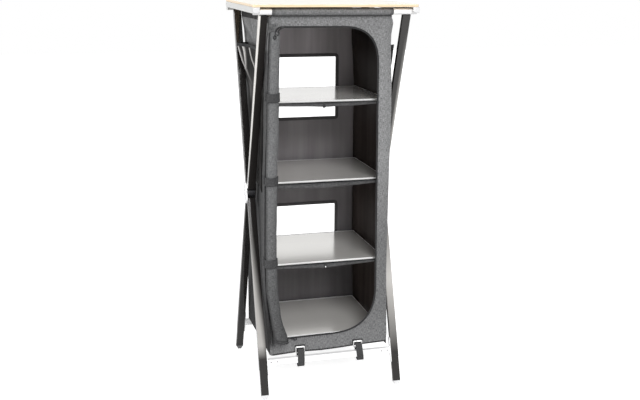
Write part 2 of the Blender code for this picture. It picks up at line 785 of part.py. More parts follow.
def make_roll():
    """The door rolled up on itself: a spiral outline whose outer layer ends in a lip."""
    rings, sides = 26, 16
    loops = []
    for ring in range(rings + 1):
        z = ROLL_BOTTOM + (ROLL_TOP - ROLL_BOTTOM) * ring / rings
        x, y = roll_centre(z)
        radius = roll_radius(z)
        spare = max(0.0, radius - ROLL_RADIUS)
        loop = []
        for side in range(sides + 1):
            turn = 2 * math.pi * side / sides * 0.9999
            reach = radius + ROLL_LIP * side / sides
            angle = turn - 0.6
            loop.append(Vector((
                x + reach * math.cos(angle),
                y - spare + reach * math.sin(angle),
                z,
            )))
        loops.append(loop)
    bm = bmesh.new()
    add_loft(bm, loops)
    return finish_object("door_roll", bm, grey_fabric())


def make_tie(index, height):
    """A webbing band round the rolled door."""
    x, y = roll_centre(height)
    inside = ROLL_RADIUS + ROLL_LIP + GAP
    loops = []
    for radius in (inside + TIE_THICKNESS, inside):
        loops.append([
            [Vector((x + u, y + v, z)) for u, v in circle(radius)]
            for z in (height - TIE_WIDTH / 2, height + TIE_WIDTH / 2)
        ])
    bm = bmesh.new()
    add_pipe(bm, *loops)
    return finish_object(f"roll_tie_{index}", bm, black_webbing())


def make_pocket(name, side):
    """A slack pocket on the side wall: it stands out at its mouth, between the legs."""
    rows, columns = 10, 10
    outer, inner = [], []
    for row in range(rows + 1):
        share = row / rows
        z = POCKET_BOTTOM + (POCKET_TOP - POCKET_BOTTOM) * share
        leg_line = max(0.02, (z - PIVOT_HEIGHT) * math.tan(OPEN_ANGLE) - POCKET_LEG_GAP)
        lines = ([], [])
        for column in range(columns + 1):
            y = POCKET_WIDTH / 2 * (2 * column / columns - 1)
            free = max(0.0, 1 - (y / leg_line) ** 2)
            x = CABINET_WIDTH / 2 + POCKET_STAND_OFF + POCKET_BULGE * share**1.6 * free
            lines[0].append(Vector((side * x, y, z)))
            lines[1].append(Vector((side * (x - FABRIC), y, z)))
        outer.append(lines[0])
        inner.append(lines[1])
    bm = bmesh.new()
    add_sheet(bm, outer, inner)
    return finish_object(name, bm, lining_fabric())


def make_slider(name, x, z):
    """A zip slider with its pull hanging down."""
    face = -half_depth(z - PULL_LENGTH) - GAP
    face = min(face, -half_depth(z + SLIDER_HEIGHT) - GAP)
    body = shifted(rounded_rectangle(SLIDER_WIDTH, SLIDER_HEIGHT, 0.003), x, z)
    bm = bmesh.new()
    add_loft(bm, [[Vector((u, y, v)) for u, v in body] for y in (face, face - SLIDER_THICKNESS)])
    slider = finish_object(name, bm, steel())
    pull = shifted(rounded_rectangle(PULL_WIDTH, PULL_LENGTH, 0.002), x, z - PULL_LENGTH / 2)
    near = face - SLIDER_THICKNESS + PULL_THICKNESS / 2
    extras = bmesh.new()
    add_loft(extras, [[Vector((u, y, v)) for u, v in pull] for y in (near, near - PULL_THICKNESS)])
    combine(slider, helper(name + "_pull", extras), "UNION")
    return slider


def make_strap(name, x, facing):
    """A webbing loop from the cabinet's lower hem round the bottom bar."""
    centre_y = facing * abs(BOTTOM_BAR.y)
    bottom = BOTTOM_BAR.z - BOTTOM_BAR_HEIGHT / 2 - GAP - STRAP_THICKNESS - STRAP_SLACK
    height = STRAP_TOP - bottom
    loops = []
    for inset in (0.0, STRAP_THICKNESS):
        depth = BOTTOM_BAR_DEPTH + 2 * (GAP + STRAP_THICKNESS - inset)
        outline = rounded_rectangle(depth, height - 2 * inset, 0.004 - inset)
        middle = (bottom + STRAP_TOP) / 2
        loops.append([
            [Vector((x + dx, centre_y + u, middle + v)) for u, v in outline]
            for dx in (-STRAP_WIDTH / 2, STRAP_WIDTH / 2)
        ])
    bm = bmesh.new()
    add_pipe(bm, *loops)
    return finish_object(name, bm, black_webbing())


def make_buckle(name, x, facing):
    """A ladder buckle above the strap: a frame with a middle bar."""
    z = STRAP_TOP + GAP + BUCKLE_HEIGHT / 2
    slot_height = (BUCKLE_HEIGHT - 3 * BUCKLE_BAR) / 2
    slot = rounded_rectangle(BUCKLE_WIDTH - 2 * BUCKLE_BAR, slot_height, 0.001, steps=2)
    offset = (slot_height + BUCKLE_BAR) / 2
    outline = shifted(rounded_rectangle(BUCKLE_WIDTH, BUCKLE_HEIGHT, 0.003, steps=2), x, z)
    slots = [shifted(slot, x, z + sign * offset) for sign in (-1, 1)]
    outer = facing * (abs(BOTTOM_BAR.y) + BOTTOM_BAR_DEPTH / 2 + GAP + STRAP_THICKNESS)
    bm = upright_panel([outline, *slots], -facing * BUCKLE_THICKNESS, lambda _: outer)
    return finish_object(name, bm, steel())


def clear_scene():
    for old in list(bpy.data.objects):
        bpy.data.objects.remove(old, do_unlink=True)


def build():
    clear_scene()
    pivot_axis = axis_empty("pivot_axis", PIVOT)
    make_frame("front", "rear", FRONT_TOP, pivot_axis)
    make_frame("rear", "front", REAR_TOP, pivot_axis)
    for side, side_name in ((LEFT, "left"), (RIGHT, "right")):
        make_drum(f"pivot_drum_{side_name}", side, pivot_axis)
        make_pin(f"pivot_pin_{side_name}", side, pivot_axis)
        make_side_wall(f"{side_name}_wall", side)
        make_pocket(f"{side_name}_pocket", side)
    table_axis = axis_empty("table_hinge_axis", top_bar_centre(REAR_TOP))
    make_table_board(table_axis)
    make_rail("table_rail_left", LEFT, table_axis)
    make_rail("table_rail_right", RIGHT, table_axis)
    make_front_panel()
    make_back_wall()
    make_roof()
    for index, height in enumerate(SHELF_HEIGHTS, start=1):
        make_sling(index, height)
        middle = height - BOARD_THICKNESS / 2
        axis = axis_empty(f"board_axis_{index}", (0, BOARD_LIFT / 2, middle + BOARD_LIFT / 2))
        make_board(index, height, axis)
    make_roll()
    for index, height in enumerate(tie_heights(), start=1):
        make_tie(index, height)
    make_slider("top_zip_slider", DOOR_LEFT + TOP_SLIDER_SETBACK, DOOR_TOP)
    make_slider("bottom_zip_slider", DOOR_LEFT + BOTTOM_SLIDER_SETBACK, DOOR_BOTTOM)
    for facing, place in ((-1, "front"), (1, "rear")):
        for side, side_name in ((LEFT, "left"), (RIGHT, "right")):
            x = side * STRAP_SPACING / 2
            make_strap(f"{place}_strap_{side_name}", x, facing)
            make_buckle(f"{place}_buckle_{side_name}", x, facing)


build()
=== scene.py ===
"""Looks of the folding camp cupboard.

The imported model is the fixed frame: its hard pieces keep their solids and get their
finishes here. Every soft piece is laid over the solid it stands for as a cloth surface
worked out on a grid of two parameters. Lengths are in metres, the front is -Y and Z is up.
"""

import logging
import math
from dataclasses import dataclass, replace
from enum import Enum
from typing import Callable, Optional, Sequence, Union

import bmesh
import bpy
import numpy as np
from mathutils import Matrix, Vector


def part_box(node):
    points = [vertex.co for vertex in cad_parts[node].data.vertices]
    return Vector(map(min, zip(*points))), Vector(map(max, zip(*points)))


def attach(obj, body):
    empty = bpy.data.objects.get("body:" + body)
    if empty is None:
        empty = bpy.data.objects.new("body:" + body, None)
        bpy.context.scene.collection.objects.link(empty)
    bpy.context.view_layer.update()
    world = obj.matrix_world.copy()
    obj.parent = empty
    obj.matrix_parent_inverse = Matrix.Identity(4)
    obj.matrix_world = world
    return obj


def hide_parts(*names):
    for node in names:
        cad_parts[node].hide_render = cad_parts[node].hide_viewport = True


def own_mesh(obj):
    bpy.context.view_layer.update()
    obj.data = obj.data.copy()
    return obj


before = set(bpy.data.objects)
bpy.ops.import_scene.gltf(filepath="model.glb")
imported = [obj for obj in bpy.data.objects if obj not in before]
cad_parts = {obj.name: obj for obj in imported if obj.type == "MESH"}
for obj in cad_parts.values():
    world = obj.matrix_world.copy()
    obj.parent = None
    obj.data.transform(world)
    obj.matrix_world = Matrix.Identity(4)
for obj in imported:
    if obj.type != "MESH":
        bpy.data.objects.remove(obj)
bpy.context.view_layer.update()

logging.basicConfig(level=logging.INFO, format="%(name)s: %(message)s")
LOG = logging.getLogger("cupboard")

Array = np.ndarray
Colour = tuple[float, float, float]
Node = bpy.types.Node
Pair = tuple[float, float]
Piece = bpy.types.Object
Row = tuple[float, ...]
Socket = bpy.types.NodeSocket
Sockets = bpy.types.bpy_prop_collection
Spots = Sequence[Sequence[float]]
Value = Union[Socket, float, tuple]

# Main heights, depths and lean of the cabinet and its frame
PIVOT_HEIGHT = 0.763
CABINET_TOP = 1.4564
CABINET_FOOT = 0.1563
TOP_DEPTH = 0.4721
FOOT_DEPTH = 0.4097
HALF_WIDTH = 0.238
SHELF_HEIGHTS = (0.2243, 0.5213, 0.8423, 1.1463)
LOW_BAR_Y, LOW_BAR_Z = 0.2187, 0.1358
LEG_LEAN = math.radians(18.4)
LEG_X = 0.269
FRONT_BODY, REAR_BODY = "front_top_frame", "rear_top_frame"

FORWARDS = np.array([0.0, -1.0, 0.0])
UPWARDS = np.array([0.0, 0.0, 1.0])


class Slot(Enum):
    """Material slots of the part's record, passed along with the new pieces."""

    SILVER = "silver_anodised"
    PALE_PLASTIC = "pale_plastic"
    STEEL = "bright_steel"
    WEBBING = "black_webbing"
    HEATHER = "grey_melange_fabric"
    LINING = "dark_lining_fabric"


class Sign(Enum):
    """A choice between two directions, each a sign along an axis."""

    @property
    def word(self) -> str:
        """The choice in small letters, as the pieces' names have it."""
        return self.name.lower()


class Side(Sign):
    """Left and right of the cupboard, as signs along X."""

    LEFT = -1
    RIGHT = 1


class Face(Sign):
    """Front and rear of the cupboard, as signs along Y."""

    FRONT = -1
    REAR = 1


def half_depth(z: Array) -> Array:
    """Distance of the front and back cloth from the middle plane, which grows evenly with height z."""
    share = (np.asarray(z, float) - CABINET_FOOT) / (CABINET_TOP - CABINET_FOOT)
    return (FOOT_DEPTH + share * (TOP_DEPTH - FOOT_DEPTH)) / 2


def smooth(value: Array, low: float, high: float) -> Array:
    """Eases a value from 0 at low to 1 at high along a cubic."""
    share = np.clip((np.asarray(value, float) - low) / (high - low), 0.0, 1.0)
    return share * share * (3.0 - 2.0 * share)


def bump(value: Array, centre: float, width: float) -> Array:
    """A bell of height 1 at centre that has fallen to 0.37 at width to either side."""
    return np.exp(-(((np.asarray(value, float) - centre) / width) ** 2))


def unit(vectors: Array) -> Array:
    """Vectors divided by their own lengths."""
    return vectors / np.linalg.norm(vectors, axis=-1, keepdims=True)


def ripples(a: Array, b: Array, seed: int, waves: int, long: float, short: float) -> Array:
    """Soft irregular waves: the mean of sines with seeded directions and lengths, between -1 and 1.

    Args:
        a: first coordinate of the cloth.
        b: second coordinate of the cloth.
        seed: seed of the directions, lengths and phases.
        waves: how many sines are added.
        long: longest wavelength.
        short: shortest wavelength.

    Returns:
        The waves' heights at each point.
    """
    rng = np.random.default_rng(seed)
    total = np.zeros(np.broadcast(a, b).shape)
    for _ in range(waves):
        angle, length = rng.uniform(0, math.pi), rng.uniform(short, long)
        phase = rng.uniform(0, 2 * math.pi)
        total = total + np.sin(2 * math.pi * (a * math.cos(angle) + b * math.sin(angle)) / length + phase)
    return total / waves


def crease(y: Array, z: Array, line: Spots, width: float) -> Array:
    """A rounded ridge of height 1 along a line of cloth, soft at both ends.

    Args:
        y: first coordinate of the cloth.
        z: second coordinate of the cloth.
        line: places of the ridge as (z, y), with rising z.
        width: half width of the ridge.

    Returns:
        The heights.
    """
    spots = np.array(line)
    middle = np.interp(z, spots[:, 0], spots[:, 1])
    lean = np.interp(z, spots[:, 0], np.gradient(spots[:, 1], spots[:, 0]))
    low, high = spots[0, 0], spots[-1, 0]
    ends = smooth(z, low - 0.008, low + 0.008) * (1 - smooth(z, high - 0.004, high + 0.008))
    return bump((y - middle) / np.sqrt(1 + lean**2), 0, width) * ends


def led_through(spots: Spots, count: int, weights: Sequence[float] = (1.0,)) -> Array:
    """A path of even steps through spots, with straight runs between them, softened by a moving mean.

    Args:
        spots: the spots in order, N by 2 or 3.
        count: points on the path.
        weights: shares of the moving mean.

    Returns:
        The path, count by 2 or 3.
    """
    spots = np.asarray(spots, float)
    run = np.linspace(0, len(spots) - 1, count)
    path = np.stack([np.interp(run, np.arange(len(spots)), column) for column in spots.T], axis=1)
    half = len(weights) // 2
    padded = np.pad(path, ((half, half), (0, 0)), mode="edge")
    return np.stack([np.convolve(column, weights, mode="valid") for column in padded.T], axis=1)


def inward(loop: Array) -> Array:
    """Unit directions square to a clockwise outline, towards its inside."""
    tangent = unit(np.roll(loop, -1, axis=0) - np.roll(loop, 1, axis=0))
    return np.stack([tangent[:, 1], -tangent[:, 0]], axis=1)


def with_seam(grid: Array) -> Array:
    """Repeats a ring grid's first column after its last, so that it closes."""
    return np.concatenate([grid, grid[:, :1]], axis=1)


# Meshes


def mesh_object(
    name: str,
    points: Array,
    faces: Spots,
    looks: Sequence["Finish"],
    uv: Optional[Array] = None,
    tone: Optional[Array] = None,
) -> Piece:
    """Makes an object at the origin from points and faces.

    Args:
        name: the piece's name.
        points: corners, N by 3.
        faces: corner numbers of each face.
        looks: finishes of the material slots.
        uv: flat cloth coordinates of each corner, N by 2.
        tone: painted light and shade of the cloth at each corner, from 0 to 1, kept in a second map.

    Returns:
        The new object, smooth shaded.
    """
    mesh = bpy.data.meshes.new(name)
    mesh.from_pydata(np.asarray(points, float).tolist(), [], [list(map(int, f)) for f in faces])
    for look in looks:
        mesh.materials.append(look.material())
    corner = np.empty(len(mesh.loops), np.int32)
    mesh.loops.foreach_get("vertex_index", corner)
    if tone is not None:
        tone = np.stack([np.asarray(tone, float).ravel(), np.zeros(len(points))], axis=1)
    for label, values in (("cloth", uv), ("tone", tone)):
        if values is not None:
            layer = mesh.uv_layers.new(name=label)
            layer.data.foreach_set("uv", np.asarray(values, np.float32)[corner].ravel())
    mesh.shade_smooth()
    piece = bpy.data.objects.new(name, mesh)
    bpy.context.scene.collection.objects.link(piece)
    return piece


def grid_faces(rows: int, columns: int, wrap: bool = False, flip: bool = False) -> Array:
    """Quads of a grid of points numbered row by row.

    Args:
        rows: points along the first parameter.
        columns: points along the second parameter.
        wrap: whether the last column joins the first one.
        flip: whether the faces point the other way.

    Returns:
        The faces, M by 4.
    """
    i, j = np.meshgrid(np.arange(rows - 1), np.arange(columns if wrap else columns - 1), indexing="ij")
    here, below, k = i * columns, (i + 1) * columns, (j + 1) % columns
    quads = np.stack([here + j, here + k, below + k, below + j], axis=-1).reshape(-1, 4)
    return quads[:, ::-1] if flip else quads


def mended(
    piece: Piece,
    gap: float = 1e-6,
    fill: bool = False,
    outwards: bool = True,
    sharp: Optional[float] = None,
) -> Piece:
    """Merges a piece's doubles, and closes it, turns its faces outwards and marks its edges where asked.

    Args:
        piece: the object.
        gap: distance below which points are merged.
        fill: whether open ends are closed.
        outwards: whether all faces are turned outwards.
        sharp: angle in degrees above which an edge is sharp.

    Returns:
        The same object, smooth shaded.
    """
    bm = bmesh.new()
    bm.from_mesh(piece.data)
    bmesh.ops.remove_doubles(bm, verts=bm.verts, dist=gap)
    if fill:
        bmesh.ops.holes_fill(bm, edges=bm.edges, sides=0)
    if outwards:
        bmesh.ops.recalc_face_normals(bm, faces=bm.faces)
    bm.to_mesh(piece.data)
    bm.free()
    piece.data.shade_smooth()
    if sharp is not None:
        piece.data.set_sharp_from_angle(angle=math.radians(sharp))
    return piece


def surface(
    name: str,
    points: Array,
    looks: Sequence["Finish"],
    uv: Optional[Array] = None,
    flip: bool = False,
    weld: bool = False,
    cap: bool = False,
    tone: Optional[Array] = None,
) -> Piece:
    """A cloth surface from a grid of points.

    Args:
        name: the piece's name.
        points: grid, U by V by 3.
        looks: finishes of the face and, where it has one, of the lining.
        uv: flat cloth coordinates, U by V by 2.
        flip: whether the faces point the other way.
        weld: whether the grid's last column lies on its first and is joined to it.
        cap: whether the open ends are closed and all faces turned outwards.
        tone: painted light and shade of the cloth at each point, U by V.

    Returns:
        The new object.
    """
    flat = None if uv is None else uv.reshape(-1, 2)
    faces = grid_faces(*points.shape[:2], flip=flip)
    piece = mesh_object(name, points.reshape(-1, 3), faces, looks, flat, tone)
    if weld or cap:
        mended(piece, fill=cap, outwards=cap, sharp=50.0 if cap else None)
    return piece


def closed_body(name: str, points: Array, look: "Finish", sharp: float) -> Piece:
    """A solid skin from rings of points: rows wrap round, and the first and last rings are capped.

    Args:
        name: the piece's name.
        points: grid of rings, U by V by 3.
        look: its finish.
        sharp: angle in degrees above which an edge is sharp.

    Returns:
        The new object, its faces pointing outwards.
    """
    rows, columns = points.shape[:2]
    faces = [list(f) for f in grid_faces(rows, columns, wrap=True)]
    faces += [list(range(columns))[::-1], list(range((rows - 1) * columns, rows * columns))]
    return mended(mesh_object(name, points.reshape(-1, 3), faces, [look]), sharp=sharp)


def sweep(
    name: str, path: Array, profile: Array, look: "Finish", normal: Array = FORWARDS, closed: bool = False
) -> Piece:
    """A closed profile carried along a path: point = path + across * profile x + away * profile y.

    Away is square to the path and nearest to the direction away from the surface that carries it,
    and across is square to both.

    Args:
        name: the piece's name.
        path: points, N by 3.
        profile: closed outline, M by 2.
        look: its finish.
        normal: direction away from the carrying surface.
        closed: whether the path is a loop.

    Returns:
        The new closed object.
    """
    ahead = np.roll(path, -1, axis=0) - np.roll(path, 1, axis=0) if closed else np.gradient(path, axis=0)
    tangent = unit(ahead)
    across = unit(np.cross(tangent, np.broadcast_to(normal, path.shape)))
    away = np.cross(across, tangent)
    points = path[:, None] + across[:, None] * profile[None, :, :1] + away[:, None] * profile[None, :, 1:]
    sharp = 50.0
    if not closed:
        return closed_body(name, points, look, sharp)
    rows, columns = points.shape[:2]
    faces = grid_faces(rows + 1, columns, wrap=True) % (rows * columns)
    return mended(mesh_object(name, points.reshape(-1, 3), faces, [look]), sharp=sharp)


def rounded_profile(width: float, height: float, corner: float, steps: int = 3) -> Array:
    """A rectangle with round corners, centred on zero.

    Args:
        width: size across.
        height: size away from the surface.
        corner: corner radius.
        steps: points on each corner's arc.

    Returns:
        The outline, 4 * steps by 2.
    """
    turn = np.linspace(0, math.pi / 2, steps)
    arcs = []
    for quarter, (sx, sy) in enumerate(((1, 1), (-1, 1), (-1, -1), (1, -1))):
        angle = turn + quarter * math.pi / 2
        centre = np.array([sx * (width / 2 - corner), sy * (height / 2 - corner)])
        arcs.append(centre + corner * np.stack([np.cos(angle), np.sin(angle)], axis=1))
    return np.concatenate(arcs)


def rounded_loop(corners: Spots, edges: Sequence[int], arc: int) -> Array:
    """A closed outline with soft corners: straight runs joined by quadratic curves.

    Args:
        corners: each corner's two coordinates, and how far before and after it the curve reaches.
        edges: points on the straight run after each corner.
        arc: points on each corner.

    Returns:
        The outline from the first corner's curve on, with the same count for every such loop.
    """
    spots = np.array([c[:2] for c in corners], float)
    pieces = []
    t = np.linspace(0, 1, arc)[:, None]
    for i, here in enumerate(spots):
        after = (i + 1) % len(spots)
        start = here + unit(spots[i - 1] - here) * corners[i][2]
        end = here + unit(spots[after] - here) * corners[i][3]
        pieces.append((1 - t) ** 2 * start + 2 * t * (1 - t) * here + t**2 * end)
        stop = spots[after] + unit(here - spots[after]) * corners[after][2]
        s = np.linspace(0, 1, edges[i] + 2)[1:-1, None]
        pieces.append(end + (stop - end) * s)
    return np.concatenate(pieces)


def square_loop(x: Pair, y: Pair, corner: float, edges: Sequence[int], arc: int) -> Array:
    """A rectangle between two x and two y, with equal soft corners, clockwise from its upper left one."""
    spots = ((x[0], y[1]), (x[1], y[1]), (x[1], y[0]), (x[0], y[0]))
    return rounded_loop([(*spot, corner, corner) for spot in spots], edges, arc)


def dome_points(centre: Sequence[float], axis: Sequence[float], radius: float, height: float) -> Array:
    """Rings of a low dome: radius falls as a quarter circle's cosine while height rises as its sine.

    Args:
        centre: middle of the base.
        axis: direction in which it stands.
        radius: base radius.
        height: how far it stands out.

    Returns:
        The rings, with a short sunk skirt first, U by V by 3.
    """
    sides, rings, sunk = 16, 6, 0.0004
    axis = unit(np.asarray(axis, float))
    side = unit(np.cross(axis, [0.3, 0.5, 0.8]))
    other = np.cross(axis, side)
    lift = np.linspace(0, math.pi / 2 * 0.97, rings)
    reach = np.concatenate([[radius * 0.9], radius * np.cos(lift)])
    rise = np.concatenate([[-sunk], height * np.sin(lift)])
    turn = np.linspace(0, 2 * math.pi, sides, endpoint=False)
    ring = np.cos(turn)[:, None] * side + np.sin(turn)[:, None] * other
    return np.asarray(centre, float) + reach[:, None, None] * ring[None] + rise[:, None, None] * axis


def joined(name: str, pieces: Sequence[Piece]) -> Piece:
    """Merges several meshes into one object.

    Args:
        name: the joined object's name.
        pieces: objects whose meshes are gathered; they are removed.

    Returns:
        The joined object, with the materials of the first piece.
    """
    bm = bmesh.new()
    for piece in pieces:
        bm.from_mesh(piece.data)
    mesh = bpy.data.meshes.new(name)
    bm.to_mesh(mesh)
    bm.free()
    for material in pieces[0].data.materials:
        mesh.materials.append(material)
    for piece in pieces:
        bpy.data.objects.remove(piece)
    whole = bpy.data.objects.new(name, mesh)
    bpy.context.scene.collection.objects.link(whole)
    return whole


def thicken(piece: Piece, thickness: float, inner_slot: int = 0, offset: float = -1.0) -> None:
    """Gives a cloth surface its thickness, and its inner face a slot of its own.

    Args:
        piece: the open surface.
        thickness: cloth thickness.
        inner_slot: how many slots further the inner face's material lies.
        offset: -1 puts the thickness behind the surface, 0 half on each side.
    """
    wall = piece.modifiers.new("thickness", "SOLIDIFY")
    wall.thickness = thickness
    wall.offset = offset
    wall.use_even_offset = False
    wall.material_offset = inner_slot


def fixed(piece: Piece, body: str) -> Piece:
    """Lets a piece ride on a body."""
    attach(piece, body)
    return piece


def hung(piece: Piece, slot: Slot, *nodes: str, body: str = "cabinet") -> Piece:
    """Lets a soft piece ride with its body, and hides the solid it stands for.

    Args:
        piece: the finished object.
        slot: the record's slot; not used.
        *nodes: the solid that it stands for, if there is one.
        body: the body it rides on.

    Returns:
        The same object.
    """
    fixed(piece, body)
    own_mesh(piece)
    for node in nodes:
        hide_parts(node)
    return piece


# Finishes


class Graph:
    """A node tree with short calls that add nodes and join them."""

    def __init__(self, tree: bpy.types.NodeTree) -> None:
        """Keeps the tree that the calls work on."""
        self.tree = tree

    def put(self, socket: Socket, value: Value) -> None:
        """Joins a socket to the input, or sets its default."""
        if isinstance(value, bpy.types.NodeSocket):
            self.tree.links.new(value, socket)
        elif isinstance(value, tuple) and len(value) == 3 and len(socket.default_value) == 4:
            socket.default_value = (*value, 1.0)
        else:
            socket.default_value = value

    def node(self, kind: str, inputs: Optional[dict] = None, **settings: object) -> Node:
        """Adds a node.

        Args:
            kind: Blender's node type without its ShaderNode prefix.
            inputs: values or sockets by input name or number.
            **settings: the node's own properties.

        Returns:
            The node.
        """
        made = self.tree.nodes.new("ShaderNode" + kind)
        for key, value in settings.items():
            setattr(made, key, value)
        for key, value in (inputs or {}).items():
            self.put(made.inputs[key], value)
        return made

    def place(self) -> Socket:
        """Object coordinates."""
        return self.node("TexCoord").outputs["Object"]

    def part(self, vector: Value, axis: int) -> Socket:
        """A vector's X, Y or Z, as axis 0, 1 or 2."""
        return self.node("SeparateXYZ", {0: vector}).outputs[axis]

    def facing(self, axis: int) -> Socket:
        """X, Y or Z of the direction in which the surface faces."""
        return self.part(self.node("TexCoord").outputs["Normal"], axis)

    def math(self, operation: str, a: Value, b: Value = 0.0, c: Value = 0.5, clamp: bool = False) -> Socket:
        """The result of a Math node on up to three values."""
        return self.node("Math", {0: a, 1: b, 2: c}, operation=operation, use_clamp=clamp).outputs[0]

    def times(self, a: Value, b: Value) -> Socket:
        """The product of two values."""
        return self.math("MULTIPLY", a, b)

    def mix(self, share: Value, a: Value, b: Value, blend: str = "MIX") -> Socket:
        """Mixes two colours by a share."""
        return self.node("Mix", {0: share, 6: a, 7: b}, data_type="RGBA", blend_type=blend).outputs[2]

    def shaded(self, colour: Value, tone: Value) -> Socket:
        """A colour times a tone that is the same for its three parts."""
        grey = self.node("CombineColor", {0: tone, 1: tone, 2: tone}).outputs[0]
        return self.mix(1.0, colour, grey, "MULTIPLY")

    def noise(self, vector: Value, stretch: tuple, detail: float = 2.0, rough: float = 0.5) -> Socket:
        """Noise whose features per metre along each axis are given by stretch."""
        placed = self.node("Mapping", {"Vector": vector, "Scale": stretch}).outputs[0]
        made = self.node("TexNoise", {"Vector": placed, "Scale": 1.0, "Detail": detail, "Roughness": rough})
        return made.outputs["Fac"]

    def ramp(self, value: Value, low: Value, high: Value, start: Value = 0.0, end: Value = 1.0) -> Socket:
        """Maps a value from the range low to high to the range start to end, clamped at both ends."""
        inputs = {"Value": value, "From Min": low, "From Max": high, "To Min": start, "To Max": end}
        return self.node("MapRange", inputs, clamp=True).outputs[0]

    def ridges(self, along: Value, pitch: float) -> Socket:
        """Ridges from 0 to 1 at an even pitch along a coordinate: half a sine wave's height plus a half."""
        wave = self.math("SINE", self.times(along, 2 * math.pi / pitch))
        return self.math("MULTIPLY_ADD", wave, 0.5, 0.5)

    def group(self, tree: bpy.types.NodeTree, **inputs: Value) -> Node:
        """Places a node group with its values or sockets by input name."""
        made = self.tree.nodes.new("ShaderNodeGroup")
        made.node_tree = tree
        for key, value in inputs.items():
            self.put(made.inputs[key], value)
        return made

    def feed(self, name: str, value: Value) -> None:
        """Joins a value to an input of the material's own shader, or sets its default."""
        self.put(self.tree.nodes["Principled BSDF"].inputs[name], value)

    def relief(self, height: Value, distance: float, strength: float = 1.0) -> None:
        """Feeds a height to the shader's normal through a Bump node."""
        made = self.node("Bump", {"Height": height, "Distance": distance, "Strength": strength})
        self.feed("Normal", made.outputs[0])


def shared_group(name: str, inputs: dict, outputs: Sequence[tuple], fill: Callable) -> bpy.types.NodeTree:
    """Finds a shader node group, or builds it the first time.

    Args:
        name: the group's name.
        inputs: socket type and default by input name.
        outputs: name and socket type of each output.
        fill: adds the nodes, given the graph and the inner sockets of the inputs and outputs.

    Returns:
        The group.
    """
    found = bpy.data.node_groups.get(name)
    if found:
        return found
    tree = bpy.data.node_groups.new(name, "ShaderNodeTree")
    for key, (kind, default) in inputs.items():
        socket = tree.interface.new_socket(key, in_out="INPUT", socket_type="NodeSocket" + kind)
        if default is not None:
            socket.default_value = default
    for key, kind in outputs:
        tree.interface.new_socket(key, in_out="OUTPUT", socket_type="NodeSocket" + kind)
    source, sink = tree.nodes.new("NodeGroupInput"), tree.nodes.new("NodeGroupOutput")
    fill(Graph(tree), source.outputs, sink.inputs)
    return tree


def heather_group() -> bpy.types.NodeTree:
    """Yarn streaks of a mottled woven cloth: crossed stretched noises, clouds, and a fine plain weave."""

    def fill(graph: Graph, given: Sockets, out: Sockets) -> None:
        """Adds the yarns, their colours and the threads' height."""
        place, thread = given["Vector"], 0.0016
        weft = graph.noise(place, (84.0, 620.0, 1.0), 2.0, 0.55)
        warp = graph.noise(place, (560.0, 76.0, 1.0), 2.0, 0.55)
        cloud = graph.noise(place, (26.0, 20.0, 1.0), 2.0, 0.5)
        yarn = graph.math("ADD", graph.times(weft, 0.5), graph.times(warp, 0.5))
        spread = graph.times(graph.math("SUBTRACT", yarn, 0.5), graph.times(given["Contrast"], 3.4))
        spread = graph.math("ADD", spread, graph.times(graph.math("SUBTRACT", cloud, 0.5), 0.24))
        share = graph.math("ADD", spread, 0.5, clamp=True)
        graph.put(out["Color"], graph.mix(share, given["Dark"], given["Light"]))
        weave = graph.times(*(graph.ridges(graph.part(place, axis), thread) for axis in (0, 1)))
        graph.put(out["Height"], graph.math("ADD", graph.times(weave, 0.5), graph.times(yarn, 0.5)))

    inputs = {
        "Vector": ("Vector", None), "Dark": ("Color", (0.1, 0.1, 0.1, 1)),
        "Light": ("Color", (0.3, 0.3, 0.3, 1)), "Contrast": ("Float", 1.0),
    }
    return shared_group("heather", inputs, (("Color", "Color"), ("Height", "Float")), fill)


def streak_group() -> bpy.types.NodeTree:
    """Fine drawn lines along Z, as on a drawn tube: noise stretched along Z, with broad clouds."""

    def fill(graph: Graph, given: Sockets, out: Sockets) -> None:
        """Adds the lines at the given pitch and the clouds."""
        pitch = given["Pitch"]
        stretch = graph.node("CombineXYZ", {0: pitch, 1: pitch, 2: 3.0}).outputs[0]
        placed = graph.node("VectorMath", {0: given["Vector"], 1: stretch}, operation="MULTIPLY").outputs[0]
        line = graph.node("TexNoise", {"Vector": placed, "Scale": 1.0, "Detail": 2.0}).outputs["Fac"]
        graph.put(out["Line"], line)
        graph.put(out["Cloud"], graph.noise(given["Vector"], (9.0, 9.0, 5.0), 3.0, 0.55))

    inputs = {"Vector": ("Vector", None), "Pitch": ("Float", 900.0)}
    return shared_group("drawn_lines", inputs, (("Line", "Float"), ("Cloud", "Float")), fill)


def wear_group() -> bpy.types.NodeTree:
    """Handling marks: a mask of small scuffs and a mask of broad dull patches, from noises."""

    def fill(graph: Graph, given: Sockets, out: Sockets) -> None:
        """Adds both masks."""
        fine = graph.noise(given["Vector"], (160.0, 160.0, 90.0), 4.0, 0.65)
        broad = graph.noise(given["Vector"], (7.0, 7.0, 7.0), 2.0, 0.5)
        graph.put(out["Scuff"], graph.ramp(fine, 0.62, 0.78))
        graph.put(out["Patch"], graph.ramp(broad, 0.35, 0.65))

    inputs = {"Vector": ("Vector", None)}
    return shared_group("handling", inputs, (("Scuff", "Float"), ("Patch", "Float")), fill)


def scaled(colour: Colour, *shares: float) -> Colour:
    """A colour times one share, or times a share for each of its parts, kept below 1."""
    each = shares * 3 if len(shares) == 1 else shares
    return tuple(min(1.0, part * share) for part, share in zip(colour, each))


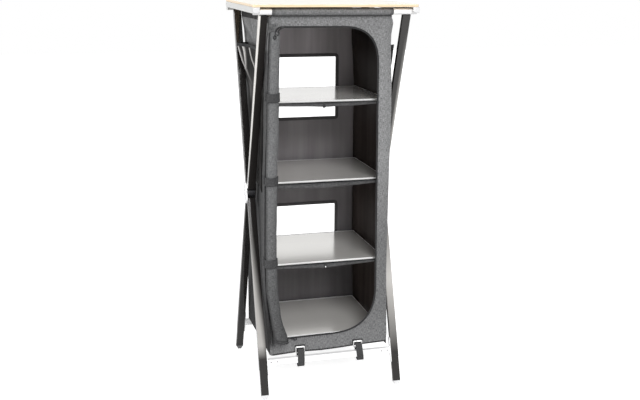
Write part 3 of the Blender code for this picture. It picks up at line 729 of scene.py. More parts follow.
@dataclass(frozen=True)
class Finish:
    """A finish with a plain name, which makes its material the first time it is asked for."""

    name: str
    roughness: float = 0.5
    metallic: float = 0.0
    specular: float = 0.5
    coat: float = 0.0
    coat_roughness: float = 0.1

    def paint(self, graph: Graph) -> None:
        """Adds the finish's own nodes; each kind of finish has its own."""
        raise NotImplementedError

    def material(self) -> bpy.types.Material:
        """Makes or finds the material."""
        found = bpy.data.materials.get("look_" + self.name)
        if found:
            return found
        made = bpy.data.materials.new("look_" + self.name)
        made.use_nodes = True
        graph = Graph(made.node_tree)
        graph.feed("Roughness", self.roughness)
        graph.feed("Metallic", self.metallic)
        graph.feed("Specular IOR Level", self.specular)
        graph.feed("Coat Weight", self.coat)
        graph.feed("Coat Roughness", self.coat_roughness)
        self.paint(graph)
        return made

    def gloss(self, graph: Graph, *changes: tuple[Socket, float]) -> None:
        """Feeds the roughness: the finish's own, plus each mask times the gain beside it."""
        value = self.roughness
        for mask, gain in changes:
            value = graph.math("MULTIPLY_ADD", mask, gain, value)
        graph.feed("Roughness", value)


@dataclass(frozen=True)
class HeatherCloth(Finish):
    """Mottled woven polyester in flat cloth coordinates, with painted shade that darkens it towards the foot.

    Where deep is given, the cloth's second map, which holds painted light and shade, takes its colour from
    that share up to the full one.
    """

    dark: Colour = (0.13, 0.131, 0.134)
    light: Colour = (0.42, 0.422, 0.425)
    contrast: float = 1.0
    foot_tone: float = 1.0
    deep: Optional[float] = None

    def paint(self, graph: Graph) -> None:
        """Yarn colours by the heather group, darkened towards the foot as painted shade and scaled by the
        second map's painted light and shade, and the weave as relief.
        """
        place = graph.node("UVMap", uv_map="cloth").outputs[0]
        yarn = graph.group(
            heather_group(), Vector=place, Dark=self.dark, Light=self.light, Contrast=self.contrast
        )
        # painted shade: the colour darkens towards the cabinet's foot
        tone = graph.ramp(graph.part(graph.place(), 2), CABINET_FOOT, 0.9, self.foot_tone, 1.0)
        if self.deep is not None:
            # the second map holds painted light and shade, which scale the colour
            fold = graph.part(graph.node("UVMap", uv_map="tone").outputs[0], 0)
            tone = graph.times(tone, graph.ramp(fold, 0.0, 1.0, self.deep, 1.0))
        graph.feed("Base Color", graph.shaded(yarn.outputs["Color"], tone))
        graph.relief(yarn.outputs["Height"], 0.0006, 0.5)


@dataclass(frozen=True)
class WovenTape(Finish):
    """Ribbed tape, webbing or thread: even ribs along Z and, wider, along X, with a faint fleck."""

    colour: Colour = (0.03, 0.03, 0.031)
    rib: float = 0.0016
    fleck: float = 0.35

    def paint(self, graph: Graph) -> None:
        """A fleck of lighter yarn over the colour, and ribs as relief."""
        place = graph.place()
        speck = graph.noise(place, (420.0, 420.0, 260.0), 2.0, 0.6)
        light = tuple(min(1.0, c * (1 + 2 * self.fleck) + 0.01 * self.fleck) for c in self.colour)
        dark = scaled(self.colour, 1 - self.fleck)
        graph.feed("Base Color", graph.mix(graph.ramp(speck, 0.3, 0.7), dark, light))
        upright = graph.ridges(graph.part(place, 2), self.rib)
        level = graph.ridges(graph.part(place, 0), self.rib * 1.7)
        graph.relief(graph.math("ADD", upright, level), 0.0003, 0.6)


@dataclass(frozen=True)
class CoatedLining(Finish):
    """Smooth coated lining: soft upright streaks of painted sheen over one colour, which also change its
    gloss, painted light and shade by height, and the weave's faint relief.
    """

    colour: Colour = (0.05, 0.05, 0.05)
    spread: float = 0.3
    foot: float = 1.0
    head: float = 1.0

    def paint(self, graph: Graph) -> None:
        """Streaks along Z move colour as painted sheen and move the gloss, painted light and shade change the
        colour with height, and noise is relief.
        """
        place = graph.place()
        broad = graph.ramp(graph.noise(place, (17.0, 17.0, 1.3), 2.0, 0.5), 0.3, 0.7)
        narrow = graph.ramp(graph.noise(place, (95.0, 95.0, 3.0), 2.0, 0.5), 0.25, 0.75)
        streak = graph.math("ADD", graph.times(broad, 0.82), graph.times(narrow, 0.18))
        dark, light = scaled(self.colour, 1 - self.spread), scaled(self.colour, 1 + self.spread)
        # painted light and shade: foot scales the colour low down and head high up, by a smaller share
        # towards the right
        height = graph.part(place, 2)
        right = graph.ramp(graph.part(place, 0), 0.05, 0.2, self.head, self.head * 0.55)
        head = graph.ramp(height, 1.0, 1.36, 1.0, right)
        fade = graph.times(graph.ramp(height, 0.28, 0.75, self.foot, 1.0), head)
        graph.feed("Base Color", graph.shaded(graph.mix(streak, dark, light), fade))
        self.gloss(graph, (streak, -0.12))
        graph.relief(graph.noise(place, (1500.0, 1500.0, 1500.0), 2.0), 0.0002, 0.25)


@dataclass(frozen=True)
class Gleam:
    """A pale band painted down one side of a leg.

    middle is the leg's middle X. The band's rim lies beside it by rim at a height of 1 m, which shifts
    by slope per metre, and is soft over that width to either side. The band comes in between the
    heights start and full and goes out between fade and end, and pale is its lightness.
    """

    middle: float
    rim: float
    slope: float
    soft: float
    start: float
    full: float
    fade: float
    end: float
    pale: float

    def over(self, graph: Graph, place: Socket, colour: Value) -> Socket:
        """Lays the band over the leg's own colour."""
        height = graph.part(place, 2)
        shift = graph.times(graph.math("SUBTRACT", height, 1.0), self.slope)
        beside = graph.math("SUBTRACT", graph.math("SUBTRACT", graph.part(place, 0), self.middle), shift)
        share = graph.ramp(beside, self.rim - self.soft, self.rim + self.soft, 1.0, 0.0)
        share = graph.times(share, graph.ramp(height, self.start, self.full))
        share = graph.times(share, graph.ramp(height, self.fade, self.end, 1.0, 0.0))
        return graph.mix(share, colour, (self.pale, self.pale * 0.97, self.pale * 0.93))


@dataclass(frozen=True)
class DrawnTube(Finish):
    """Anodised drawn tube: lines along it and a slightly uneven gloss.

    A crown above 0 shades the flat front of the legs centred on that X as faintly domed, a highlit side of -1
    or 1 makes the left or right face pale and metallic as a painted highlight, and a gleam, a painted band,
    lies over the colour.
    """

    colour: Colour = (0.02, 0.018, 0.017)
    line: float = 0.35
    gloss_spread: float = 0.08
    crown: float = 0.0
    # a side face made pale as a painted highlight, and how pale
    bare_side: int = 0
    bare: float = 0.85
    gleam: Optional[Gleam] = None

    def paint(self, graph: Graph) -> None:
        """Lines tint the colour, a side face and a band can be painted pale as painted highlights, clouds and
        patches move the roughness, and lines give a faint relief.
        """
        place = graph.place()
        drawn = graph.group(streak_group(), Vector=place, Pitch=700.0).outputs["Line"]
        worn = graph.group(wear_group(), Vector=place).outputs
        dark, light = scaled(self.colour, 1 - self.line), scaled(self.colour, 1 + self.line)
        colour = graph.mix(graph.ramp(drawn, 0.3, 0.7), dark, light)
        # painted highlight: the chosen side face is made pale and metallic so that it shows bright as a
        # highlight would
        if self.bare_side:
            side = graph.ramp(graph.times(graph.facing(0), float(self.bare_side)), 0.75, 0.95)
            colour = graph.mix(side, colour, (self.bare, self.bare * 0.99, self.bare * 0.97))
            graph.feed("Metallic", graph.times(side, 0.85))
        # painted highlight: a pale band down the leg
        if self.gleam:
            colour = self.gleam.over(graph, place, colour)
        graph.feed("Base Color", colour)
        self.gloss(graph, (worn["Patch"], self.gloss_spread), (worn["Scuff"], self.gloss_spread))
        if not self.crown:
            graph.relief(drawn, 0.0002, 0.12)
            return
        offset = graph.math("SUBTRACT", graph.math("ABSOLUTE", graph.part(place, 0)), self.crown)
        dome = graph.times(graph.times(offset, offset), -4.2)
        graph.relief(graph.math("ADD", dome, graph.times(drawn, 0.00001)), 1.0)


@dataclass(frozen=True)
class Moulded(Finish):
    """Moulded plastic: a faint mottle in the colour and a fine spark-eroded grain."""

    colour: Colour = (0.7, 0.7, 0.71)

    def paint(self, graph: Graph) -> None:
        """A mottled colour, a roughness with scuffs and a fine grain as relief."""
        place = graph.place()
        worn = graph.group(wear_group(), Vector=place).outputs
        dark = scaled(self.colour, 0.86)
        graph.feed("Base Color", graph.mix(worn["Patch"], dark, self.colour))
        self.gloss(graph, (worn["Scuff"], 0.15))
        graph.relief(graph.noise(place, (2600.0, 2600.0, 2600.0), 2.0), 0.0001, 0.25)


@dataclass(frozen=True)
class ShelfFace(Finish):
    """Aluminium-faced board: brushed lines along X, a pale unfaced edge, and a dull pale band along its rear
    and side edges that is a painted highlight.
    """

    colour: Colour = (0.98, 0.96, 0.92)
    edge: Colour = (0.93, 0.93, 0.92)
    # where the painted highlight band starts: X either side and Y at the rear
    rim: Pair = (0.2168, 0.1795)
    rim_soft: float = 0.0006

    def paint(self, graph: Graph) -> None:
        """Brushed lines on the faces, the edge's colour on upright surfaces, and a dull pale band along the
        rear and side edges as a painted highlight.
        """
        place = graph.place()
        brushed = graph.noise(place, (6.0, 900.0, 900.0), 2.0, 0.6)
        worn = graph.group(wear_group(), Vector=place).outputs
        face = graph.mix(graph.ramp(brushed, 0.3, 0.7), scaled(self.colour, 0.93), self.colour)
        flat = graph.ramp(graph.math("ABSOLUTE", graph.facing(2)), 0.4, 0.7)
        # painted highlight: a band of the edge's colour along the rear and side edges, kept out of the
        # metallic face
        spots = (graph.math("ABSOLUTE", graph.part(place, 0)), graph.part(place, 1))
        rim_highlights = (graph.ramp(spot, rim, rim + self.rim_soft) for spot, rim in zip(spots, self.rim))
        trim = graph.math("MAXIMUM", *rim_highlights)
        faced = graph.times(flat, graph.math("SUBTRACT", 1.0, trim))
        graph.feed("Base Color", graph.mix(faced, self.edge, face))
        graph.feed("Metallic", graph.times(faced, self.metallic))
        self.gloss(graph, (worn["Patch"], 0.03))
        graph.relief(brushed, 0.00005, 0.1)


@dataclass(frozen=True)
class TopBoard(Finish):
    """Pale laminate top with warm wood along its edge."""

    top: Colour = (1.0, 0.97, 0.89)
    edge: Colour = (0.98, 0.79, 0.55)

    def paint(self, graph: Graph) -> None:
        """Grain stretched along X: rings from a stretched noise tint the top faintly and the edge more."""
        place = graph.place()
        figure = graph.noise(place, (2.2, 26.0, 40.0), 4.0, 0.6)
        pores = graph.noise(place, (40.0, 900.0, 900.0), 2.0, 0.5)
        grain = graph.math("ADD", graph.times(graph.ridges(figure, 0.085), 0.6), graph.times(pores, 0.4))
        top = graph.mix(grain, scaled(self.top, 0.97, 0.95, 0.9), self.top)
        edge = graph.mix(grain, scaled(self.edge, 0.86, 0.8, 0.72), self.edge)
        graph.feed("Base Color", graph.mix(graph.ramp(graph.facing(2), 0.3, 0.75), edge, top))
        graph.relief(grain, 0.0001, 0.2)


# The deep shares set how far the second map's painted shade may darken each cloth, and the foot shares how
# far painted shade darkens it towards the foot.
HEATHER = HeatherCloth("heather_cloth", roughness=0.92, specular=0.2, contrast=1.25, deep=0.1)
# a darker copy of the heather cloth: the darkness is painted shade on the rolled door
DOOR_CLOTH = HeatherCloth(
    "door_cloth", roughness=0.9, specular=0.2, dark=(0.070, 0.071, 0.073), light=(0.233, 0.235, 0.237),
    foot_tone=0.42, deep=0.31,
)
SLEEVE_CLOTH = replace(HEATHER, name="sleeve_cloth", contrast=1.2, foot_tone=0.72, deep=0.22)
# pale colours that the second map darkens almost to black, so that the pale folds left are painted highlights
POCKET_CLOTH = HeatherCloth(
    "pocket_cloth", roughness=0.8, specular=0.08, dark=(0.52, 0.5, 0.49), light=(0.95, 0.93, 0.91),
    contrast=0.6, deep=0.02,
)
SIDE_CLOTH = replace(HEATHER, name="side_cloth", contrast=0.8, deep=0.11)
PLAIN_CLOTH = HeatherCloth(
    "rear_cloth", roughness=0.92, specular=0.2, dark=(0.11, 0.11, 0.113), light=(0.36, 0.36, 0.365),
    foot_tone=0.8,
)
# a darker copy of the heather cloth: the darkness is painted shade under the shelf boards
SLING_CLOTH = HeatherCloth(
    "sling_cloth", roughness=0.85, specular=0.2, dark=(0.035, 0.035, 0.036), light=(0.15, 0.15, 0.152),
    deep=0.5,
)
# foot and head paint light low down and shade high up, most towards the right
LINING = CoatedLining(
    "dark_lining", roughness=0.6, specular=0.1, colour=(0.049, 0.038, 0.034),
    spread=0.35, foot=1.3, head=0.74,
)
# a lighter copy of the dark lining: the lighter colour is painted light on the back wall's inner face, with
# painted shade low down and painted light high up
REAR_LINING = CoatedLining(
    "grey_lining", roughness=0.52, specular=0.3, colour=(0.29, 0.272, 0.283),
    spread=0.26, foot=0.36, head=2.1,
)
WINDOW_HEM = WovenTape("window_hem", roughness=0.8, colour=(0.11, 0.105, 0.108), rib=0.002, fleck=0.1)
BINDING = WovenTape("black_binding", roughness=0.85, colour=(0.016, 0.016, 0.017), rib=0.002)
ZIP = WovenTape("zip_tape", roughness=0.6, colour=(0.012, 0.012, 0.013), rib=0.0025, fleck=0.6)
THREAD = WovenTape("grey_thread", roughness=0.7, colour=(0.14, 0.14, 0.142), rib=0.0008)
STRAP = WovenTape("black_strap", roughness=0.8, colour=(0.028, 0.028, 0.029), rib=0.0024, fleck=0.5)
BLACK_TUBE = DrawnTube(
    "black_tube", roughness=0.09, specular=0.75, coat=0.35, coat_roughness=0.08,
    gloss_spread=0.03, crown=LEG_X,
)
# upper front legs: a pale outer side face and a pale band down the front, both painted highlights
HIGHLIT_UPPER_LEFT = replace(
    BLACK_TUBE, name="black_tube_bare_left", roughness=0.3, specular=0.12, coat=0.0, bare_side=-1,
    gleam=Gleam(-LEG_X, -0.0130, 0.007, 0.0011, 0.8, 1.0, 2, 3, 0.85),
)
HIGHLIT_UPPER_RIGHT = replace(
    BLACK_TUBE, name="black_tube_bare_right", bare_side=1,
    gleam=Gleam(LEG_X, 0.009, 0.0, -0.007, 0.8, 1.0, 1.12, 1.4, 0.62),
)
# lower front legs: pale bands down the front, painted highlights where the key lamp's reflection falls
LOW_LEFT = replace(
    BLACK_TUBE, name="black_tube_low_left", specular=0.35, coat=0.1,
    gleam=Gleam(-LEG_X, -0.036, -0.06, 0.011, 0.152, 0.200, 0.42, 0.98, 0.40),
)
LOW_RIGHT = replace(
    LOW_LEFT, name="black_tube_low_right",
    gleam=Gleam(LEG_X, 0.03, -0.02, 0.02, 0.130, 0.40, 0.42, 0.72, 0.57),
)
BLACK_PLATE = DrawnTube("black_plate", roughness=0.25, specular=0.5)
SILVER_TUBE = DrawnTube(
    "silver_tube", roughness=0.38, metallic=0.05, colour=(0.97, 0.97, 0.975), line=0.03, gloss_spread=0.1
)
RAIL = replace(SILVER_TUBE, name="rail_silver", roughness=0.42, metallic=0.1, colour=(0.70, 0.70, 0.69))
STEEL = DrawnTube("bright_steel", roughness=0.24, metallic=0.6, colour=(0.9, 0.9, 0.9), line=0.06)
PALE_PLASTIC = Moulded("pale_plastic", roughness=0.42, colour=(0.84, 0.84, 0.85))
CAP = Moulded("white_cap", roughness=0.35, colour=(0.8, 0.8, 0.805))
PLATE = DrawnTube("plate_silver", roughness=0.3, metallic=0.3, colour=(0.9, 0.9, 0.91), line=0.04)
DRUM = Moulded("black_drum", roughness=0.3, colour=(0.03, 0.03, 0.033))
RIVET = DrawnTube("grey_rivet", roughness=0.4, metallic=0.6, colour=(0.3, 0.3, 0.3), line=0.1)
# a darker copy of the pale plastic: the darkness is painted shade on the rear feet
SHADED_FOOT_PLASTIC = Moulded("grey_plastic", roughness=0.45, colour=(0.2, 0.2, 0.2))
BLACK_METAL = DrawnTube("black_nickel", roughness=0.3, specular=0.6, colour=(0.03, 0.03, 0.032), line=0.1)
SHELF = ShelfFace("shelf_face", roughness=0.18, metallic=0.42, specular=1.0, coat=0.6, coat_roughness=0.14)
RIM = Moulded("shelf_rim", roughness=0.3, specular=0.6, colour=(0.93, 0.93, 0.92))
TOP_BOARD = TopBoard("top_board", roughness=0.26, specular=0.6)


# The fabric cabinet


# Where the front panel's edges lie: the left one bellies out between the top bar and the foot, and the
# right one is drawn in along the side, with an ear at the top. The back cloth is drawn in at the right
# and pulled out at the top left. Each is a row of heights and a row of X.
EDGES: dict[tuple[Face, Side], tuple[Row, Row]] = {
    (Face.FRONT, Side.LEFT): (
        (0.156, 0.22, 0.30, 0.37, 0.47, 0.6, 0.86, 1.01, 1.16, 1.30, 1.40, 1.456),
        (
            -0.2375, -0.2392, -0.2445, -0.2525, -0.2595, -0.2615,
            -0.2605, -0.2570, -0.2540, -0.2510, -0.2475, -0.2455,
        ),
    ),
    (Face.FRONT, Side.RIGHT): (
        (0.156, 0.2, 0.33, 0.475, 0.87, 1.12, 1.23, 1.34, 1.39, 1.415, 1.435, 1.456),
        (0.2395, 0.2405, 0.2345, 0.2285, 0.2262, 0.2258, 0.2225, 0.2155, 0.2155, 0.2195, 0.2215, 0.214),
    ),
    (Face.REAR, Side.LEFT): (
        (0.156, 1.30, 1.334, 1.357, 1.38, 1.405, 1.425, 1.456),
        (-0.238, -0.2385, -0.2395, -0.2410, -0.2425, -0.2460, -0.2500, -0.2525),
    ),
    (Face.REAR, Side.RIGHT): (
        (0.156, 0.24, 0.45, 0.85, 1.16, 1.25, 1.33, 1.456),
        (0.2335, 0.2305, 0.2245, 0.2238, 0.2240, 0.2205, 0.2135, 0.2110),
    ),
}


def edge_of(face: Face, side: Side, z: Array) -> Array:
    """X of the cloth's edge on one face and side of the cabinet, at height z."""
    return np.interp(z, *EDGES[face, side])


@dataclass
class StitchRow:
    """Short raised stitches along a path on the front of the cloth."""

    length: float = 0.0032
    pitch: float = 0.0050
    thick: float = 0.0007
    start: float = 0.002
    rings: int = 4
    sides: int = 6

    def build(self, name: str, path: Array, look: Finish) -> Piece:
        """Each stitch is a six-sided spindle: thin at both ends and full in the middle.

        Args:
            name: the piece's name.
            path: points, N by 3.
            look: thread finish.

        Returns:
            One object with every stitch.
        """
        run = np.concatenate([[0], np.cumsum(np.linalg.norm(np.diff(path, axis=0), axis=1))])
        starts = np.arange(self.start, run[-1] - self.length, self.pitch)
        along = starts[:, None] + np.linspace(0, self.length, self.rings)[None]
        core = np.stack([np.interp(along, run, path[:, i]) for i in range(3)], axis=-1)
        tangent = unit(core[:, -1] - core[:, 0])
        away = np.broadcast_to(FORWARDS, tangent.shape)
        across = np.cross(tangent, away)
        turn = np.linspace(0, 2 * math.pi, self.sides, endpoint=False)
        radius = self.thick * np.array([0.25, 1.0, 1.0, 0.25])
        lift = self.thick * np.array([-0.3, 0.35, 0.35, -0.3])
        ring = np.cos(turn)[:, None, None] * across + np.sin(turn)[:, None, None] * away
        points = core[:, :, None] + radius[None, :, None, None] * ring.transpose(1, 0, 2)[:, None]
        points = points + (lift[None, :, None] * away[:, None])[:, :, None]
        first = np.arange(len(starts))[:, None, None] * self.rings * self.sides
        faces = (grid_faces(self.rings, self.sides, wrap=True) + first).reshape(-1, 4)
        rim = np.arange(self.sides)
        caps = (np.stack([rim[::-1], rim + (self.rings - 1) * self.sides]) + first).reshape(-1, self.sides)
        return mended(mesh_object(name, points.reshape(-1, 3), [*faces, *caps], [look]), sharp=80.0)


@dataclass
class FrontPanel:
    """Front cloth with its tall opening, the opening's binding and zip, and the hem.

    The opening has a long soft arc at both right-hand corners and small ones at the left. The border
    is the panel's outer outline, before its edges belly. The cloth stands out by the lift, and its waves
    and the pull at its upper right corner by their own heights.
    """

    thickness: float = 0.0013
    edges: tuple[int, ...] = (44, 110, 44, 110)
    arc: int = 26
    binding_width: float = 0.0038
    zip_width: float = 0.0032
    zip_inset: float = 0.0032
    lift: float = 0.0012
    wave: float = 0.0011
    pull: float = 0.0010
    hem_ends: Pair = (-0.228, 0.236)
    opening: Spots = (
        (-0.2185, 1.4205, 0.02, 0.02), (0.1665, 1.4195, 0.135, 0.135),
        (0.191, 0.2262, 0.18, 0.18), (-0.2185, 0.2205, 0.02, 0.02),
    )
    border: Spots = (
        (-HALF_WIDTH, CABINET_TOP, 0.004, 0.004), (HALF_WIDTH, CABINET_TOP, 0.03, 0.014),
        (HALF_WIDTH, CABINET_FOOT, 0.006, 0.006), (-HALF_WIDTH, CABINET_FOOT, 0.012, 0.008),
    )

    def place(self, flat: Array) -> Array:
        """Shapes flat cloth: edges belly, the foot hangs in a shallow curve, and soft waves stand out.

        Args:
            flat: X and Z of the flat cloth, with any leading shape.

        Returns:
            Places in the room, in the same leading shape.
        """
        x, z = flat[..., 0], flat[..., 1]
        right = smooth(x, 0.19, HALF_WIDTH) * (edge_of(Face.FRONT, Side.RIGHT, z) - HALF_WIDTH)
        left = smooth(-x, 0.205, HALF_WIDTH) * (edge_of(Face.FRONT, Side.LEFT, z) + HALF_WIDTH)
        foot = 1 - smooth(z, CABINET_FOOT, 0.235)
        rises = (-0.001, 0.0045, 0.002, 0.005, 0.009, 0.0125)
        rise = np.interp(x, (-0.238, -0.12, -0.03, 0.05, 0.12, 0.238), rises)
        wave = ripples(x, z, 3, 7, 0.22, 0.07)
        pull = bump(x, 0.2, 0.05) * bump(z, 1.42, 0.06) * np.sin((x + z) * 95)
        taut = smooth(HALF_WIDTH - np.abs(x), 0.0, 0.02)
        relief = self.lift + self.wave * wave * taut + self.pull * pull
        return np.stack([x + right + left, -half_depth(z) - relief, z + foot * rise], axis=-1)

    def tone(self, x: Array, z: Array) -> Array:
        """Painted light and shade of the cloth at flat places: painted shade over the lower half, and painted
        shadow behind the rolled door.
        """
        heights = (0.16, 0.2, 0.3, 0.6, 0.9, 1.2, 1.35, 1.45)
        tone = np.interp(z, heights, (0.65, 0.60, 0.50, 0.52, 0.86, 0.87, 0.79, 0.72))
        # painted shadow of the rolled door on the cloth's left strip
        behind = smooth(-x, 0.208, 0.228) * smooth(z, 0.170, 0.215)
        return tone * (1 - behind * (0.45 + 0.50 * (1 - smooth(z, 0.32, 0.5))))

    def build(self) -> list[Piece]:
        """Makes the cloth as a ring from the opening to the border, and its trims."""
        outlines = (self.opening, self.border)
        inner, outer = (rounded_loop(corners, self.edges, self.arc) for corners in outlines)
        rim = 0.12
        steps = (np.linspace(0, rim, 5)[:-1], np.linspace(rim, 1 - rim, 17), np.linspace(1 - rim, 1, 5)[1:])
        share = np.concatenate(steps)[:, None, None]
        flat = with_seam(inner[None] * (1 - share) + outer[None] * share)
        tone = self.tone(flat[..., 0], flat[..., 1])
        cloth = surface("front_cloth", self.place(flat), (HEATHER, LINING), uv=flat, weld=True, tone=tone)
        thicken(cloth, self.thickness, inner_slot=1)
        hung(cloth, Slot.HEATHER, "front_panel")
        lip, sunk, level = (np.array([0.0, y, 0.0]) for y in (-0.0009, 0.0004, -0.0002))
        profile = rounded_profile(self.binding_width, 0.0026, 0.0011)
        teeth = rounded_profile(self.zip_width, 0.0022, 0.0009)
        tape = self.place(inner + inward(inner) * self.zip_inset) + sunk
        hem = np.stack([np.linspace(*self.hem_ends, 90), np.full(90, CABINET_FOOT + 0.0025)], axis=1)
        trims = [
            sweep("opening_binding", self.place(inner) + lip, profile, BINDING, closed=True),
            sweep("opening_zip", tape, teeth, ZIP, closed=True),
            sweep("front_hem", self.place(hem) + lip, rounded_profile(0.0055, 0.0024, 0.001), BINDING),
        ]
        for name, inset in (("front_stitches", 0.0075), ("front_seam", 0.0165)):
            path = self.place(outer + inward(outer) * inset) + level
            trims.append(StitchRow().build(name, path, THREAD))
        return [cloth, *(hung(trim, Slot.WEBBING) for trim in trims)]


@dataclass
class BackWall:
    """Back cloth with two windows, each bound on both faces, with soft waves about its lift."""

    lift: float = 0.0012
    wave: float = 0.0012
    window_half: float = 0.1425
    windows: tuple[Pair, ...] = ((0.3923, 0.6403), (1.0173, 1.2653))
    split: float = 0.8285
    thickness: float = 0.0013
    binding_width: float = 0.0136

    def place(self, flat: Array) -> Array:
        """Hangs flat cloth on the back plane with soft waves that die out at the rims."""
        x, z = flat[..., 0], flat[..., 1]
        free = smooth(HALF_WIDTH - np.abs(x), 0, 0.03) * smooth(CABINET_TOP - z, 0.05, 0.11)
        wave = ripples(x, z, 11, 6, 0.26, 0.09) * free
        for side in Side:
            shift = edge_of(Face.REAR, side, z) - side.value * HALF_WIDTH
            x = x + shift * smooth(side.value * x, 0.15, HALF_WIDTH)
        return np.stack([x, half_depth(z) + self.lift + self.wave * wave, z], axis=-1)

    def loops(self, index: int) -> tuple[Array, Array]:
        """One window's outline and the outline of the cloth round it.

        Args:
            index: 0 for the lower window, 1 for the upper one.

        Returns:
            The window's loop and the outer loop, clockwise seen from the front.
        """
        heights = ((CABINET_FOOT, self.split), (self.split, CABINET_TOP))[index]
        edges, arc = (40, 40, 40, 40), 8
        inner = square_loop((-self.window_half, self.window_half), self.windows[index], 0.0015, edges, arc)
        return inner, square_loop((-HALF_WIDTH, HALF_WIDTH), heights, 0.0005, edges, arc)

    def build(self) -> list[Piece]:
        """Makes the cloth in two rings, one round each window, and binds the windows."""
        halves, trims = [], []
        share = np.linspace(0, 1, 16)[:, None, None]
        profile = rounded_profile(self.binding_width, 0.0012, 0.0005)
        for index in (0, 1):
            inner, outer = self.loops(index)
            flat = with_seam(inner[None] * (1 - share) + outer[None] * share)
            name, looks = f"back_half_{index}", (PLAIN_CLOTH, REAR_LINING)
            halves.append(surface(name, self.place(flat), looks, uv=flat, flip=True, weld=True))
            middle = inner + inward(inner) * -self.binding_width / 2
            for label, sign, out in (("inside", -1.0, -self.thickness - 0.0006), ("outside", 1.0, 0.0006)):
                path = self.place(middle) + np.array([0.0, out, 0.0])
                name = f"window_{index + 1}_binding_{label}"
                trims.append(sweep(name, path, profile, WINDOW_HEM, -sign * FORWARDS, closed=True))
        cloth = mended(joined("back_cloth", halves), gap=2e-5, outwards=False)
        thicken(cloth, self.thickness, inner_slot=1)
        hung(cloth, Slot.LINING, "back_wall")
        return [cloth, *(hung(trim, Slot.WEBBING) for trim in trims)]


@dataclass
class SideWall:
    """One side cloth: slack between the legs, held flat at the shelves and at its rims.

    The fan is where the upper folds meet. Waves and folds are heights, and the cloth lies sunk by a little.
    """

    side: Side
    thickness: float = 0.0012
    wave: float = 0.0016
    fold: float = 0.0035
    sunk: float = 0.0012
    fan_y: float = 0.035
    fan_z: float = 1.330
    hem_half: float = 0.225
    hem_z: float = 1.4435
    hem_width: float = 0.024

    def belly(self, y: Array, z: Array) -> Array:
        """How far the cloth stands out from the flat side plane.

        Args:
            y: depth.
            z: height.

        Returns:
            Distance outwards along the side's X.
        """
        share = np.clip(0.5 - y / (2 * half_depth(z)), 0, 1)
        front, rear = (np.abs(edge_of(face, self.side, z)) - HALF_WIDTH for face in Face)
        rim = smooth(1 - np.abs(2 * share - 1), 0, 0.22)
        wave = ripples(y, z, 21 + self.side.value, 7, 0.3, 0.08)
        slack = self.wave * wave - self.sunk + self.fold * self.gathers(y, z)
        held = np.ones_like(z)
        for height in SHELF_HEIGHTS:
            held = held - 0.65 * bump(z, height - 0.006, 0.02)
        return front * smooth(share, 0.45, 1.0) + rear * smooth(share, 0.4, 0.0) + slack * rim * held

    def gathers(self, y: Array, z: Array) -> Array:
        """Folds that fan out from the pocket's mouth to the top hem, and upright ones beside the front.

        Args:
            y: depth.
            z: height.

        Returns:
            Heights of the folds, about -1 to 1.
        """
        reach = np.maximum(z - self.fan_z, 0.004)
        fan = np.sin(12.5 * np.arctan2(y - self.fan_y, reach) + 0.8)
        fan = fan * smooth(z, 1.335, 1.37) * (1 - 0.5 * smooth(z, 1.40, 1.45))
        near = smooth(-y, 0.09, 0.19) * smooth(z, 0.20, 0.45) * (1 - smooth(z, 1.26, 1.33))
        upright = np.sin(y * 430 + 3.0 * ripples(0 * y, z, 5, 4, 0.5, 0.2) + 5 * z) * near
        return fan + 0.7 * upright

    def tone(self, y: Array, z: Array) -> Array:
        """Painted light and shade of the cloth: painted light above the pocket, painted shade below its mouth
        and towards the foot, and painted highlights on the folds.
        """
        # painted light above the pocket, painted shade below it and towards the foot, painted highlights on
        # the folds
        above = smooth(z, 1.325, 1.345)
        foot = 1 - smooth(z, 0.24, 0.5)
        folds = 0.5 + 0.5 * self.gathers(y, z)
        below = 0.13 + 0.17 * folds * smooth(-y, 0.08, 0.2) * (1 - foot) - 0.12 * foot
        return np.clip(above * (0.62 + 0.3 * folds) + (1 - above) * below, 0, 1)

    def build(self) -> list[Piece]:
        """Makes the cloth and the band along its top."""
        heights = np.linspace(CABINET_FOOT + 0.001, CABINET_TOP - 0.001, 150)
        z, s = np.meshgrid(heights, np.linspace(-1, 1, 70), indexing="ij")
        y = s * half_depth(z)
        x = self.side.value * (HALF_WIDTH + self.belly(y, z))
        points, flat = np.stack([x, y, z], axis=-1), np.stack([y, z], axis=-1)
        word, tone, flip = self.side.word, self.tone(y, z), self.side is Side.LEFT
        looks = (SIDE_CLOTH, LINING)
        cloth = surface(f"{word}_side_cloth", points, looks, uv=flat, flip=flip, tone=tone)
        thicken(cloth, self.thickness, inner_slot=1)
        hung(cloth, Slot.HEATHER, f"{word}_wall")
        y, z = np.linspace(-self.hem_half, self.hem_half, 60), np.full(60, self.hem_z)
        top = np.stack([self.side.value * (HALF_WIDTH + 0.0010 + self.belly(y, z)), y, z], axis=1)
        outwards = np.array([float(self.side.value), 0.0, 0.0])
        profile = rounded_profile(self.hem_width, 0.0016, 0.0007)
        band = sweep(f"{word}_top_band", top, profile, BINDING, outwards)
        return [cloth, hung(band, Slot.WEBBING)]


@dataclass
class Roof:
    """Top cloth of the cabinet, sagging a little between the bars and drawn in along its right edge."""

    sag: float = 0.005
    half_x: float = 0.236
    half_y: float = 0.2345
    right: Pair = (0.2125, 0.2095)
    height: float = 1.4552

    def build(self) -> list[Piece]:
        """A level sheet lowered by a product of two arches."""
        spans = (np.linspace(-half, half, 40) for half in (self.half_y, self.half_x))
        y, x = np.meshgrid(*spans, indexing="ij")
        width, depth = 2 * self.half_x, 2 * self.half_y
        drop = self.sag * np.cos(y / depth * math.pi) * np.cos(x / width * math.pi)
        reach = self.half_x + np.interp(y, (-self.half_y, self.half_y), self.right)
        x = np.minimum(x, (x + self.half_x) / width * reach - self.half_x)
        points = np.stack([x, y, self.height - drop], axis=-1)
        cloth = surface("roof_cloth", points, (PLAIN_CLOTH, LINING), uv=points[..., :2])
        thicken(cloth, 0.0012, inner_slot=1)
        hung(cloth, Slot.HEATHER, "roof_panel")
        return [cloth]


